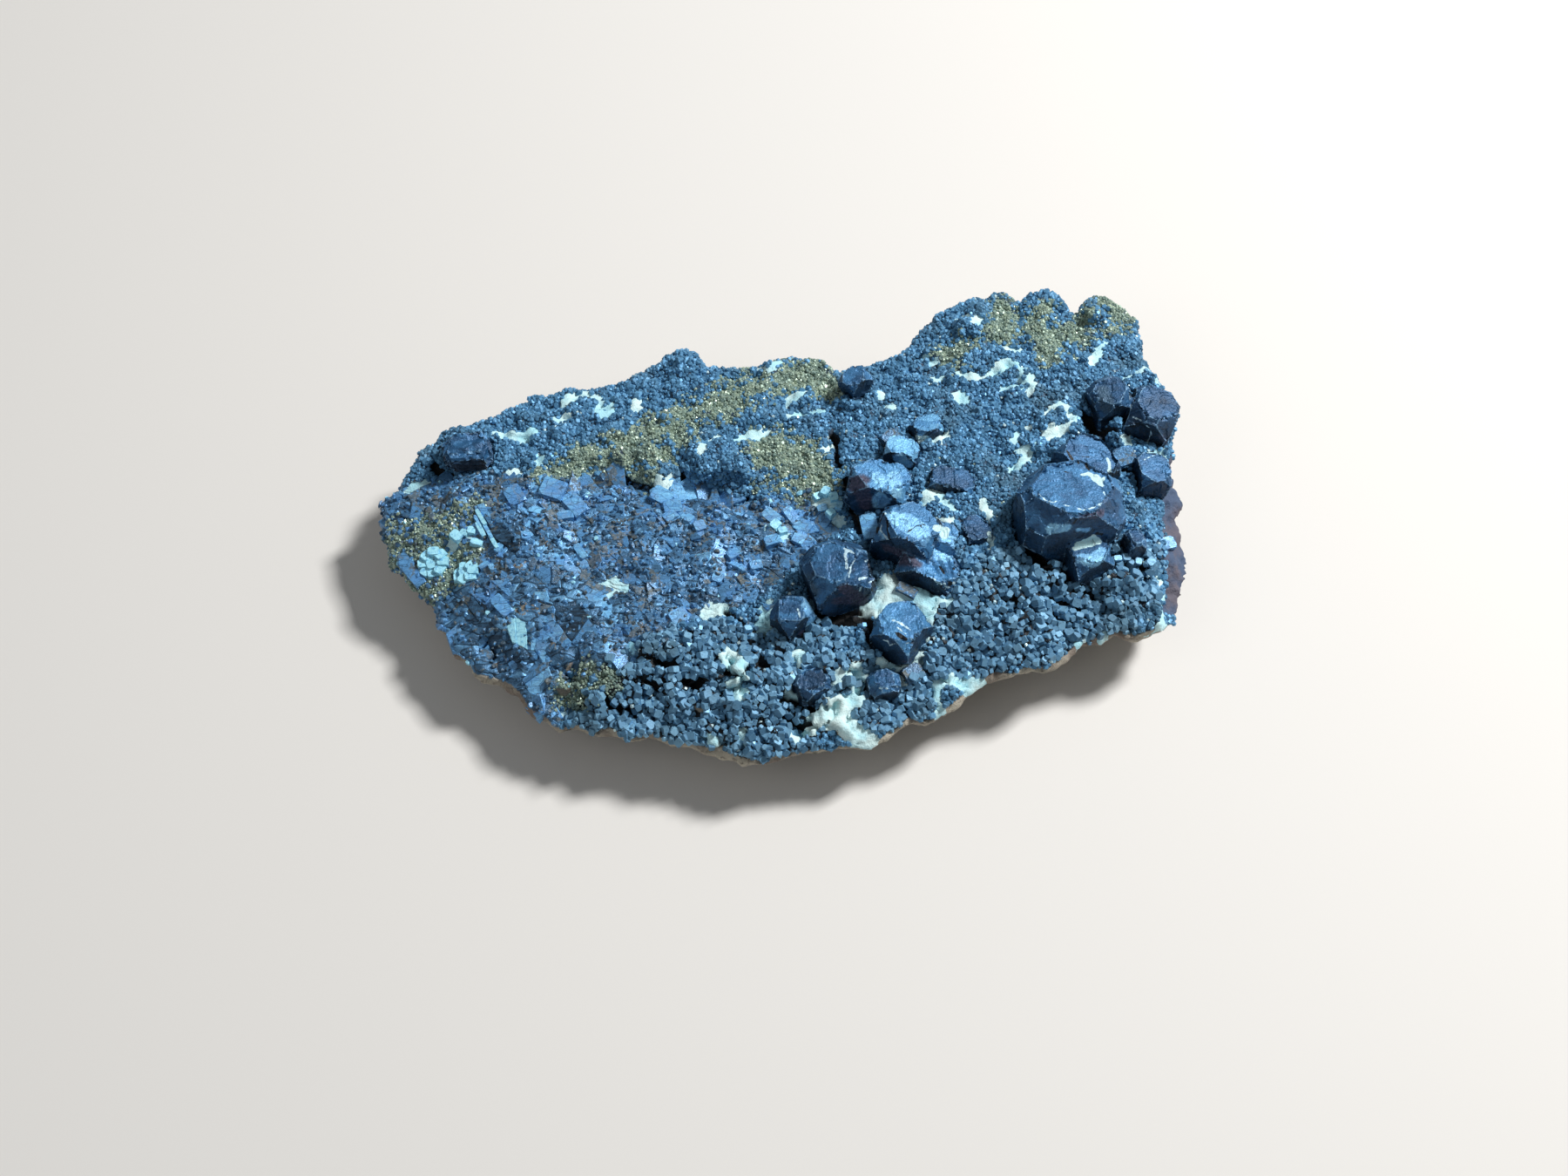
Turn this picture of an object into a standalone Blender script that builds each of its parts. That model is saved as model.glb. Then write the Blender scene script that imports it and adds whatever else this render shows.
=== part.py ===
"""Galena with pyrite: a plate of rock under a crust of galena, with standing galena crystals.

The tables are in millimetres, and MM turns them into metres as each mesh is made.
X runs along the plate, Y from its front rim to its back rim, and +Z is up.
The origin is on the ground under the middle of the plate, which rests on one flat spot.
"""

import math
import random
from itertools import combinations

import bmesh
import bpy
import numpy as np
from mathutils import Euler, Vector
from mathutils.geometry import delaunay_2d_cdt

MM = 0.001
SEED = 11

# Plate: its half sizes, the heights of its top, and how its rim is cut away below
HALF_LENGTH = 50.0
HALF_WIDTH = 33.0
CREST = 11.4
RIGHT_RISE = 1.5
FRONT_ROLL = 3.2
BACK_ROLL = 1.3
ROLL_WIDTH = 11.0
LEDGE_DROP = 0.7
RIM_INSET = 0.7
BROKEN_SIDE_INSET = 4.6
RIM_BEND = 1.5
RIM_THICKNESS = 2.4
BROKEN_SIDE_BEND = 3.6
UNDERCUT = 2.6
LOWEST_RIM = 3.0
RIM_STEP = 2.3
SPINE = ((-26.0, -1.0), (30.0, 4.0))

# The flat spot under the plate
FOOT_CENTRE = (1.5, -0.5)
FOOT_RADII = (21.0, 12.5)
FOOT_CORNERS = 18
FOOT_RAGGEDNESS = (0.9, 1.08)

# Patterns of flat-topped pieces: blocks in the crust, and blades in the broken field. The grain
# is the direction along which a pattern is stretched.
CRUST_BLOCKS = {
    "pitch": 3.0,
    "looseness": 0.32,
    "radius": (0.95, 1.3),
    "rise": (-0.1, 0.75),
    "tilt": 0.3,
    "gap_depth": 0.45,
    "grain": 0.0,
    "stretch": 1.0,
}
BROKEN_BLADES = {
    "pitch": 4.2,
    "looseness": 0.45,
    "radius": (1.35, 1.95),
    "rise": (-0.2, 0.5),
    "tilt": 0.17,
    "gap_depth": 0.15,
    "grain": math.radians(-50),
    "stretch": 1.25,
}
PIECE_CORNERS = (4, 4, 4, 5)
PIECE_GAP = 0.2
PIECE_MARGIN = 0.35
GAP_POINT_MARGIN = 0.9
GAP_POINT_ROOM = 0.45
GAP_ROUGHNESS = 0.2

# The strips between the patterns, the rim and the underside: how far apart their points are, how
# many are tried, and how rough they are
FILL_PITCH = 1.7
FILL_MARGIN = 1.1
FILL_TRIES = 30000
UNDERSIDE_PITCH = 3.6
UNDERSIDE_MARGIN = 1.6
UNDERSIDE_TRIES = 9000
CRUST_ROUGHNESS = (-0.25, 0.35)
RIM_ROUGHNESS = (-0.35, 0.35)
UNDERCUT_ROUGHNESS = (-0.5, 0.5)
UNDERSIDE_ROUGHNESS = (-0.2, 1.0)
UNDERSIDE_BULGE = 0.75
NOTCH_DEPTH = (0.2, 0.8)
CRACK_STEP = 1.4
SOCKET_GAP = 0.3

# Rim of the plate seen from above, from its left tip along the front and round the back
OUTLINE = [
    (-50.0, 2.5), (-49.4, -1.5), (-48.2, -5.8), (-45.4, -8.8), (-42.8, -11.0), (-41.6, -14.6),
    (-39.4, -18.2), (-36.2, -21.4), (-33.4, -21.8), (-31.0, -24.0), (-29.2, -26.6), (-26.0, -28.6),
    (-21.6, -29.4), (-17.4, -30.2), (-12.8, -30.6), (-8.2, -31.5), (-5.2, -32.2), (-2.0, -33.0),
    (0.6, -32.3), (4.6, -31.7), (9.0, -31.1), (11.2, -30.7), (13.6, -29.2), (17.0, -28.2),
    (19.6, -26.9), (21.6, -25.1), (23.2, -23.5), (27.4, -22.1), (31.4, -21.5), (34.2, -20.1),
    (35.8, -18.4), (38.4, -17.6), (42.6, -17.2), (45.6, -16.6), (47.6, -14.4), (48.6, -11.4),
    (49.6, -8.2), (50.0, -5.4), (49.5, -2.0), (49.9, 1.6), (49.6, 4.8), (49.5, 8.4),
    (49.1, 10.4), (49.8, 13.4), (48.9, 16.2), (47.9, 18.4), (46.7, 21.0), (46.2, 25.0),
    (45.9, 28.4), (44.4, 30.4), (42.6, 31.6), (41.2, 32.3), (39.2, 31.2), (38.0, 28.4),
    (36.8, 31.0), (35.4, 32.6), (33.8, 33.0), (32.2, 32.4), (31.4, 30.9), (30.2, 32.4),
    (28.2, 33.0), (26.6, 32.0), (24.8, 32.4), (22.2, 30.9), (19.2, 28.8), (17.4, 26.4),
    (16.2, 24.2), (13.6, 23.3), (11.4, 22.4), (9.6, 20.9), (7.4, 21.2), (5.4, 23.2),
    (0.6, 23.8), (-1.4, 22.5), (-3.6, 22.2), (-8.6, 22.6), (-9.8, 21.4), (-10.8, 24.8),
    (-13.0, 24.8), (-15.2, 22.8), (-18.4, 21.2), (-21.8, 19.3), (-27.0, 18.7), (-31.6, 17.4),
    (-34.6, 15.6), (-38.6, 13.5), (-42.4, 12.2), (-45.2, 9.2), (-46.9, 5.8),
]

# Broken field of galena in the left half: its upper edge is a ledge, and it runs out at the rim
BROKEN_FIELD = [
    (-46.0, 5.0), (-42.6, 5.4), (-35.5, 5.6), (-30.0, 4.3), (-23.6, 4.7), (-19.2, 5.2),
    (-15.6, 2.7), (-11.2, 3.8), (-4.3, 1.4), (3.0, 2.6), (7.2, 0.2), (6.4, -4.6),
    (1.8, -9.0), (-1.6, -12.9), (-8.0, -15.4), (-14.1, -17.9), (-18.6, -20.0), (-21.3, -22.5),
    (-24.9, -25.0), (-25.4, -31.0), (-44.0, -24.0), (-56.0, -6.0), (-54.0, 5.0),
]

# Swellings of the crust: x, y, radius along X, radius along Y, rise
LUMPS = [
    (-7.4, 6.4, 4.4, 3.4, 1.7),
    (-38.6, 8.6, 4.6, 3.6, 0.9),
    (-12.2, 21.6, 3.2, 2.8, 1.1),
    (23.4, 27.6, 3.6, 2.8, 1.2),
    (34.4, 30.4, 2.6, 2.4, 0.9),
    (41.6, 29.4, 3.2, 2.4, 0.8),
    (46.4, 18.2, 2.8, 3.0, 1.2),
    (34.3, 10.6, 2.4, 3.2, 1.1),
    (30.2, 8.2, 2.0, 2.8, 0.7),
    (10.2, 17.0, 4.2, 4.0, 0.9),
    (16.5, 0.0, 11.0, 15.0, 0.9),
    (-4.8, -23.6, 2.4, 2.8, 1.5),
    (-30.0, -2.0, 7.0, 5.0, 0.6),
    (-14.0, -8.0, 8.0, 5.0, 0.5),
    (7.0, -27.6, 4.4, 2.4, 0.8),
    (45.0, -15.6, 1.8, 1.6, 0.9),
    (-1.2, 20.6, 2.4, 2.2, 0.7),
]

# Hollows of the crust: x, y, radius, depth
PITS = [
    (38.6, 11.6, 2.1, 2.4),
    (40.4, 8.2, 1.4, 2.0),
    (-9.5, -24.3, 1.9, 2.0),
    (-17.4, -19.6, 1.2, 1.4),
    (2.2, -28.0, 2.0, 1.5),
    (-16.9, 15.8, 1.0, 1.2),
    (-42.0, 5.8, 1.1, 1.5),
    (6.6, -3.2, 1.5, 1.6),
    (30.2, -9.0, 2.2, 1.1),
    (6.0, -17.0, 1.6, 1.0),
    (17.6, 13.6, 1.5, 0.9),
]

# Cracks: the two ends, and the depth
CRACKS = [
    ((-11.4, 3.2), (-4.4, 0.9), 1.6),
    ((-24.8, -20.4), (-25.8, -27.0), 2.2),
    ((32.2, -12.6), (36.0, -14.4), 1.5),
    ((33.8, -9.8), (36.8, -11.6), 1.5),
    ((40.8, -8.2), (43.4, -10.6), 1.4),
    ((-3.8, -15.4), (-0.6, -18.8), 1.4),
    ((-19.4, 4.8), (-15.8, 2.3), 1.3),
    ((-23.8, 3.9), (-20.2, 3.9), 1.2),
    ((-35.6, -17.2), (-34.0, -19.2), 1.0),
]
CRACK_HALF_WIDTH = 0.75

# Standing crystals, by node. Each member: centre, half sizes, turn about Z, tilt about X and Y in
# degrees, and how much of the corners and edges is left (1 is a whole cube).
CRYSTALS = {
    "largest_galena_group": [
        ((34.7, -2.8, 14.3), (6.1, 4.7, 4.9), 12, -8, 5, 0.66, 0.87),
        ((37.4, 4.2, 13.0), (2.9, 3.3, 3.2), 30, 0, 8, 0.80, 1.0),
        ((37.0, -8.2, 12.3), (2.4, 2.4, 2.2), 22, -10, 4, 0.78, 1.0),
    ],
    "galena_by_the_largest": [
        ((42.45, -6.6, 12.2), (1.15, 1.5, 2.2), 16, -8, 8, 0.80, 0.95),
    ],
    "upper_right_galena_pair": [
        ((41.1, 14.0, 12.9), (2.5, 2.4, 3.1), 20, 0, -6, 0.74, 0.92),
        ((46.1, 12.5, 11.8), (2.9, 3.0, 3.2), -18, -6, 10, 0.74, 0.96),
    ],
    "right_rim_galena": [
        ((45.5, 3.8, 11.6), (2.1, 2.4, 2.3), 8, -4, 10, 0.80, 1.0),
    ],
    "galena_behind_the_middle": [
        ((11.9, 1.1, 13.2), (3.6, 2.4, 2.9), -12, -6, 6, 0.80, 1.0),
    ],
    "middle_galena_group": [
        ((15.3, -6.1, 13.4), (3.6, 2.9, 3.4), -20, -6, 5, 0.78, 1.0),
        ((19.5, -6.3, 12.9), (1.5, 1.6, 2.1), -12, -8, 10, 0.80, 1.0),
        ((17.7, -10.0, 12.2), (3.5, 2.2, 2.2), -24, -6, 8, 0.80, 1.0),
    ],
    "bladed_galena": [
        ((6.9, -11.2, 13.1), (4.1, 3.5, 4.0), 20, -4, -6, 0.66, 0.89),
    ],
    "small_front_galena": [
        ((1.5, -16.2, 11.9), (2.2, 2.0, 2.4), 42, -2, -4, 0.72, 0.97),
    ],
    "galena_on_pale_rock": [
        ((14.3, -18.3, 11.8), (2.9, 2.7, 2.9), 56, -4, 6, 0.76, 1.0),
    ],
    "round_front_galena": [
        ((12.2, -24.2, 10.0), (1.9, 1.7, 1.9), 10, -2, 0, 0.68, 0.84),
    ],
    "front_rim_galena": [
        ((3.9, -24.4, 10.0), (2.1, 1.8, 1.9), 28, -6, 0, 0.72, 0.88),
    ],
    "part_buried_galena": [
        ((21.1, 2.3, 12.7), (2.7, 1.5, 1.3), -12, -4, 6, 0.82, 1.0),
    ],
    "smooth_galena_slab": [
        ((23.6, -4.7, 12.4), (1.65, 1.8, 1.3), 18, -4, 8, 0.80, 1.0),
    ],
    "bright_faced_galena": [
        ((15.0, 6.4, 12.8), (2.1, 1.6, 1.8), -14, -10, 4, 0.78, 1.0),
    ],
    "pale_faced_galena": [
        ((18.1, 10.1, 12.5), (1.9, 1.45, 1.6), 26, -8, 6, 0.78, 1.0),
    ],
    "back_galena": [
        ((9.5, 17.2, 12.7), (1.8, 1.5, 1.9), 44, -6, -4, 0.72, 1.0),
    ],
    "left_rim_galena": [
        ((-38.6, 7.6, 11.6), (3.2, 2.2, 1.9), 8, -4, 0, 0.72, 0.86),
    ],
}
FACET_VARIATION = 0.07

ROCK_COLOUR = (0.075, 0.105, 0.135, 1.0)
CRYSTAL_COLOUR = (0.115, 0.165, 0.235, 1.0)


def clear_scene():
    for thing in list(bpy.data.objects):
        bpy.data.objects.remove(thing, do_unlink=True)


def finish(name, colour, roughness, metallic):
    material = bpy.data.materials.new(name)
    material.use_nodes = True
    material.diffuse_color = colour
    shader = material.node_tree.nodes["Principled BSDF"]
    shader.inputs["Base Color"].default_value = colour
    shader.inputs["Roughness"].default_value = roughness
    shader.inputs["Metallic"].default_value = metallic
    return material


def ramp(value, low, high):
    """0 below low, 1 above high, and a smooth rise between them."""
    share = min(1.0, max(0.0, (value - low) / (high - low)))
    return share * share * (3 - 2 * share)


def segment_distance(x, y, start, end):
    along = (end[0] - start[0], end[1] - start[1])
    length = along[0] ** 2 + along[1] ** 2
    share = ((x - start[0]) * along[0] + (y - start[1]) * along[1]) / length
    share = min(1.0, max(0.0, share))
    return math.hypot(x - start[0] - share * along[0], y - start[1] - share * along[1])


def inside_distance(x, y, loop):
    """Distance to a closed loop, positive inside it and negative outside."""
    nearest = 1e9
    inside = False
    for start, end in zip(loop, loop[1:] + loop[:1]):
        nearest = min(nearest, segment_distance(x, y, start, end))
        if (start[1] > y) != (end[1] > y):
            crossing = start[0] + (y - start[1]) * (end[0] - start[0]) / (end[1] - start[1])
            if x < crossing:
                inside = not inside
    return nearest if inside else -nearest


def towards_spine(x, y, distance):
    """The point moved inwards, straight at the line that runs down the middle of the plate."""
    start, end = SPINE
    along = (end[0] - start[0], end[1] - start[1])
    length = along[0] ** 2 + along[1] ** 2
    share = min(1.0, max(0.0, ((x - start[0]) * along[0] + (y - start[1]) * along[1]) / length))
    foot = (start[0] + share * along[0], start[1] + share * along[1])
    away = math.hypot(x - foot[0], y - foot[1])
    return x + (foot[0] - x) * distance / away, y + (foot[1] - y) * distance / away


def crust_height(x, y):
    """Height of the crust's mean surface, with its lumps, ledge, hollows and cracks."""
    rim = inside_distance(x, y, OUTLINE)
    front = 1 - ramp(y, -8, 12)
    roll = FRONT_ROLL * front + BACK_ROLL * (1 - front)
    height = CREST + RIGHT_RISE * ramp(x, 4, 34)
    height -= roll * (1 - ramp(rim, 0, ROLL_WIDTH))
    height -= LEDGE_DROP * ramp(inside_distance(x, y, BROKEN_FIELD), -0.3, 0.5)
    for lump_x, lump_y, radius_x, radius_y, rise in LUMPS:
        away = math.hypot((x - lump_x) / radius_x, (y - lump_y) / radius_y)
        height += rise * (1 - ramp(away, 0.45, 1.15))
    for pit_x, pit_y, radius, depth in PITS:
        height -= depth * (1 - ramp(math.hypot(x - pit_x, y - pit_y) / radius, 0.15, 1.0))
    for start, end, depth in CRACKS:
        height -= depth * (1 - ramp(segment_distance(x, y, start, end), 0.1, CRACK_HALF_WIDTH))
    return height


def ragged_rim(rng):
    """The outline with its long stretches broken by small notches, which only ever cut inwards."""
    points = []
    for start, end in zip(OUTLINE, OUTLINE[1:] + OUTLINE[:1]):
        pieces = max(1, round(math.dist(start, end) / RIM_STEP))
        points.append(start)
        for step in range(1, pieces):
            share = step / pieces
            x = start[0] + (end[0] - start[0]) * share
            y = start[1] + (end[1] - start[1]) * share
            points.append(towards_spine(x, y, rng.uniform(*NOTCH_DEPTH)))
    return points


def broken_side(x, y):
    """1 along the right-hand rim, whose side is broken to a wide slope."""
    return ramp(x, 42, 46) * ramp(y, -17, -13) * (1 - ramp(y, 8, 12))


def rim_rings(rng):
    """Three rings round the plate: the crust's edge, the widest line below it and the lower edge."""
    crust, widest, lower = [], [], []
    for x, y in ragged_rim(rng):
        broken = broken_side(x, y)
        top_x, top_y = towards_spine(x, y, RIM_INSET + (BROKEN_SIDE_INSET - RIM_INSET) * broken)
        top_z = crust_height(top_x, top_y) + rng.uniform(*CRUST_ROUGHNESS)
        bend = RIM_BEND + (BROKEN_SIDE_BEND - RIM_BEND) * broken
        side_z = top_z - bend + rng.uniform(*RIM_ROUGHNESS)
        low_x, low_y = towards_spine(x, y, UNDERCUT + rng.uniform(*UNDERCUT_ROUGHNESS))
        low_z = max(LOWEST_RIM, side_z - RIM_THICKNESS) + rng.uniform(*RIM_ROUGHNESS)
        crust.append((top_x, top_y, top_z))
        widest.append((x, y, side_z))
        lower.append((low_x, low_y, low_z))
    return crust, widest, lower


class Layer:
    """Points and fixed edges seen from above, from which one face of the plate is triangulated."""

    def __init__(self, ring):
        self.points = [tuple(point) for point in ring]
        count = len(ring)
        self.edges = [(index, (index + 1) % count) for index in range(count)]
        self.loop = [point[:2] for point in ring]

    def clear_of(self, x, y, distance):
        return all(math.hypot(x - point[0], y - point[1]) >= distance for point in self.points)

    def add(self, point):
        self.points.append(tuple(point))

    def add_loop(self, ring):
        first = len(self.points)
        self.points.extend(tuple(point) for point in ring)
        count = len(ring)
        self.edges.extend((first + index, first + (index + 1) % count) for index in range(count))

    def triangles(self):
        flat = [Vector(point[:2]) for point in self.points]
        result = delaunay_2d_cdt(flat, self.edges, [], 1, 1e-6)
        originals = [sources[0] for sources in result[3]]
        return [tuple(originals[corner] for corner in face) for face in result[2]]


def polygon_ring(x, y, radius, corners, turn):
    angles = [turn + math.tau * corner / corners for corner in range(corners)]
    return [(x + radius * math.cos(angle), y + radius * math.sin(angle)) for angle in angles]


def under_crystal(x, y):
    """Whether a standing crystal covers this place, so that no block is wanted there."""
    for members in CRYSTALS.values():
        for centre, halves, *_ in members:
            if math.hypot(x - centre[0], y - centre[1]) < (halves[0] + halves[1]) / 2:
                return True
    return False


def free_place(x, y, layer, margin, broken):
    """Whether a pattern reaches this place, that far from the rim and from the other pattern."""
    if inside_distance(x, y, layer.loop) < margin or under_crystal(x, y):
        return False
    field = inside_distance(x, y, BROKEN_FIELD)
    return field > margin if broken else field < -margin


def honeycomb(rng, pattern):
    """Loosened points of a honeycomb, by row and column, large enough for the whole plate."""
    pitch = pattern["pitch"]
    loose = pattern["looseness"]
    reach = math.ceil(math.hypot(HALF_LENGTH, HALF_WIDTH) * pattern["stretch"] / pitch)
    return {
        (row, column): (
            (column + row % 2 / 2) * pitch + rng.uniform(-loose, loose),
            row * pitch * math.sqrt(0.75) + rng.uniform(-loose, loose),
        )
        for row in range(-reach, reach + 1)
        for column in range(-reach, reach + 1)
    }


def along_grain(u, v, pattern):
    """A point of the honeycomb, stretched along the pattern's grain and turned to it."""
    u *= pattern["stretch"]
    v /= pattern["stretch"]
    cos, sin = math.cos(pattern["grain"]), math.sin(pattern["grain"])
    return u * cos - v * sin, u * sin + v * cos


def lay_pattern(rng, layer, pattern, broken):
    """Pieces with tilted flat tops over one part of the plate, and a low point in each gap."""
    middles = honeycomb(rng, pattern)
    margin = pattern["radius"][1] * pattern["stretch"] + PIECE_MARGIN
    for (row, column), (u, v) in middles.items():
        x, y = along_grain(u, v, pattern)
        if not free_place(x, y, layer, margin, broken):
            continue
        shift = row % 2
        around = [(row, column - 1), (row, column + 1)]
        around += [(row + step, column + shift - side) for step in (-1, 1) for side in (0, 1)]
        room = min(math.dist((u, v), middles[key]) for key in around if key in middles)
        radius = min(rng.uniform(*pattern["radius"]), (room - PIECE_GAP) / 2)
        height = crust_height(x, y) + rng.uniform(*pattern["rise"])
        lean_x = rng.uniform(-pattern["tilt"], pattern["tilt"])
        lean_y = rng.uniform(-pattern["tilt"], pattern["tilt"])
        head = []
        corners = rng.choice(PIECE_CORNERS)
        for ring_u, ring_v in polygon_ring(u, v, radius, corners, rng.uniform(0, math.tau)):
            ring_x, ring_y = along_grain(ring_u, ring_v, pattern)
            lean = lean_x * (ring_x - x) + lean_y * (ring_y - y)
            head.append((ring_x, ring_y, height + lean))
        layer.add_loop(head)
    for (row, column), middle in middles.items():
        for step in (-1, 1):
            beyond = middles.get((row + step, column + row % 2))
            ring = [middle, middles.get((row, column + 1)), beyond]
            if None in ring:
                continue
            u = sum(point[0] for point in ring) / 3
            v = sum(point[1] for point in ring) / 3
            x, y = along_grain(u, v, pattern)
            free = free_place(x, y, layer, GAP_POINT_MARGIN, broken)
            if free and layer.clear_of(x, y, GAP_POINT_ROOM):
                low = crust_height(x, y) - pattern["gap_depth"]
                layer.add((x, y, low + rng.uniform(-GAP_ROUGHNESS, GAP_ROUGHNESS)))


def fill(rng, layer):
    """Points in the strips that neither pattern reaches."""
    for _ in range(FILL_TRIES):
        x = rng.uniform(-HALF_LENGTH, HALF_LENGTH)
        y = rng.uniform(-HALF_WIDTH, HALF_WIDTH)
        inside = inside_distance(x, y, layer.loop) > FILL_MARGIN
        if inside and layer.clear_of(x, y, FILL_PITCH):
            layer.add((x, y, crust_height(x, y) + rng.uniform(*CRUST_ROUGHNESS)))


def mark_features(layer):
    """Points at the bottom of each hollow and along each crack, so that none is missed."""
    for x, y, _, _ in PITS:
        layer.add((x, y, crust_height(x, y)))
    for start, end, _ in CRACKS:
        steps = max(2, round(math.dist(start, end) / CRACK_STEP))
        for step in range(steps + 1):
            x = start[0] + (end[0] - start[0]) * step / steps
            y = start[1] + (end[1] - start[1]) * step / steps
            layer.add((x, y, crust_height(x, y)))


def underside(rng, lower):
    """The broken back of the plate: it bulges down to one flat spot."""
    layer = Layer(lower)
    foot = []
    for corner in range(FOOT_CORNERS):
        angle = math.tau * corner / FOOT_CORNERS
        reach = rng.uniform(*FOOT_RAGGEDNESS)
        x = FOOT_CENTRE[0] + FOOT_RADII[0] * reach * math.cos(angle)
        y = FOOT_CENTRE[1] + FOOT_RADII[1] * reach * math.sin(angle)
        foot.append((x, y))
    layer.add_loop([(x, y, 0.0) for x, y in foot])
    for _ in range(UNDERSIDE_TRIES):
        x = rng.uniform(-HALF_LENGTH, HALF_LENGTH)
        y = rng.uniform(-HALF_WIDTH, HALF_WIDTH)
        rim = inside_distance(x, y, layer.loop)
        outside = -inside_distance(x, y, foot)
        if min(rim, outside) < UNDERSIDE_MARGIN or not layer.clear_of(x, y, UNDERSIDE_PITCH):
            continue
        nearest = min(lower, key=lambda point: math.hypot(x - point[0], y - point[1]))
        share = outside / (outside + rim)
        height = nearest[2] * share ** UNDERSIDE_BULGE
        layer.add((x, y, height + rng.uniform(*UNDERSIDE_ROUGHNESS)))
    return layer


def shell(name, layers, rings, material):
    """One closed mesh from the crust, the rim's rings and the underside."""
    top, bottom = layers
    crust, widest, lower = rings
    mesh = bmesh.new()
    upper_points = [mesh.verts.new(Vector(point) * MM) for point in top.points]
    middle_points = [mesh.verts.new(Vector(point) * MM) for point in widest]
    lower_points = [mesh.verts.new(Vector(point) * MM) for point in bottom.points]
    for face in top.triangles():
        mesh.faces.new([upper_points[index] for index in face])
    for face in bottom.triangles():
        mesh.faces.new([lower_points[index] for index in reversed(face)])
    for first in range(len(crust)):
        second = (first + 1) % len(crust)
        mesh.faces.new((middle_points[first], middle_points[second], upper_points[first]))
        mesh.faces.new((middle_points[second], upper_points[second], upper_points[first]))
        mesh.faces.new((lower_points[first], lower_points[second], middle_points[first]))
        mesh.faces.new((lower_points[second], middle_points[second], middle_points[first]))
    bmesh.ops.recalc_face_normals(mesh, faces=mesh.faces)
    return as_object(name, mesh, material)


def as_object(name, mesh, material):
    data = bpy.data.meshes.new(name)
    mesh.to_mesh(data)
    mesh.free()
    data.materials.append(material)
    thing = bpy.data.objects.new(name, data)
    bpy.context.scene.collection.objects.link(thing)
    return thing


def facets(halves, corner_left, edge_left, variation):
    """Facets of a cube with cut corners and edges: the normal and distance of each."""
    planes = []
    for normal in np.ndindex(3, 3, 3):
        direction = np.array(normal, float) - 1
        kind = int(np.abs(direction).sum())
        if kind == 0 or (kind == 2 and edge_left >= 1):
            continue
        reach = np.abs(direction) @ np.array(halves)
        left = {1: 1.0, 2: edge_left, 3: corner_left}[kind]
        length = np.linalg.norm(direction)
        planes.append((direction / length, reach * left / length * (1 + variation())))
    return planes


def crystal_corners(planes):
    """Every point where three facets meet that no other facet cuts away."""
    normals = np.array([plane[0] for plane in planes])
    distances = np.array([plane[1] for plane in planes])
    corners = []
    for three in combinations(range(len(planes)), 3):
        chosen = list(three)
        if abs(np.linalg.det(normals[chosen])) < 1e-3:
            continue
        corner = np.linalg.solve(normals[chosen], distances[chosen])
        if (normals @ corner <= distances + 1e-6).all():
            corners.append(corner)
    return corners


def crystal(name, member, material, grow=0.0):
    """A galena crystal: one convex solid of flat facets, grown outwards by the given distance."""
    centre, halves, turn, tilt_x, tilt_y, corner_left, edge_left = member
    rng = random.Random(str(centre))
    planes = facets(
        halves, corner_left, edge_left, lambda: rng.uniform(-FACET_VARIATION, FACET_VARIATION)
    )
    planes = [(normal, distance + grow) for normal, distance in planes]
    mesh = bmesh.new()
    for corner in crystal_corners(planes):
        mesh.verts.new(Vector(corner) * MM)
    bmesh.ops.remove_doubles(mesh, verts=mesh.verts, dist=0.02 * MM)
    bmesh.ops.convex_hull(mesh, input=mesh.verts)
    bmesh.ops.dissolve_limit(
        mesh, angle_limit=math.radians(0.5), verts=mesh.verts, edges=mesh.edges
    )
    bmesh.ops.recalc_face_normals(mesh, faces=mesh.faces)
    thing = as_object(name, mesh, material)
    thing.location = Vector(centre) * MM
    thing.rotation_euler = Euler([math.radians(angle) for angle in (tilt_x, tilt_y, turn)])
    return thing


def hide(thing):
    thing.hide_render = True
    thing.display_type = "WIRE"


def standing_crystals(material):
    """Each node's crystal, with the others that grew into it joined on."""
    for name, members in CRYSTALS.items():
        first = crystal(name, members[0], material)
        for number, member in enumerate(members[1:], 2):
            joined = crystal(f"{name}.{number}", member, material)
            hide(joined)
            union = first.modifiers.new(f"grown_into_{number}", "BOOLEAN")
            union.operation = "UNION"
            union.object = joined


def sockets(material):
    """A grown copy of every crystal, which the plate is cut by."""
    collection = bpy.data.collections.new("sockets")
    bpy.context.scene.collection.children.link(collection)
    for name, members in CRYSTALS.items():
        for number, member in enumerate(members, 1):
            cutter = crystal(f"socket_{name}.{number}", member, material, SOCKET_GAP)
            hide(cutter)
            bpy.context.scene.collection.objects.unlink(cutter)
            collection.objects.link(cutter)
    return collection


def rock_plate(material):
    rng = random.Random(SEED)
    rings = rim_rings(rng)
    top = Layer(rings[0])
    mark_features(top)
    lay_pattern(rng, top, CRUST_BLOCKS, broken=False)
    lay_pattern(rng, top, BROKEN_BLADES, broken=True)
    fill(rng, top)
    plate = shell("matrix", (top, underside(rng, rings[2])), rings, material)
    cut = plate.modifiers.new("sockets", "BOOLEAN")
    cut.operation = "DIFFERENCE"
    cut.operand_type = "COLLECTION"
    cut.collection = sockets(material)


def main():
    clear_scene()
    rock_plate(finish("galena_crust", ROCK_COLOUR, 0.5, 0.6))
    standing_crystals(finish("galena", CRYSTAL_COLOUR, 0.35, 0.9))


main()
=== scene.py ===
"""Looks of the galena with pyrite: crust, broken galena, pyrite, pale rock and standing crystals.

Lengths in the tables and in the helper functions are millimetres, and MM turns them into metres.
Patches are strokes: each is a list of points (x, y, half width) that a band of rock runs through.
The number that a call of rough gives as its shift only picks another part of the same noise.
"""

import math

import bmesh
import bpy
import numpy as np
from mathutils import Euler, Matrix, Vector, noise
from mathutils.bvhtree import BVHTree
from mathutils.kdtree import KDTree


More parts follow.
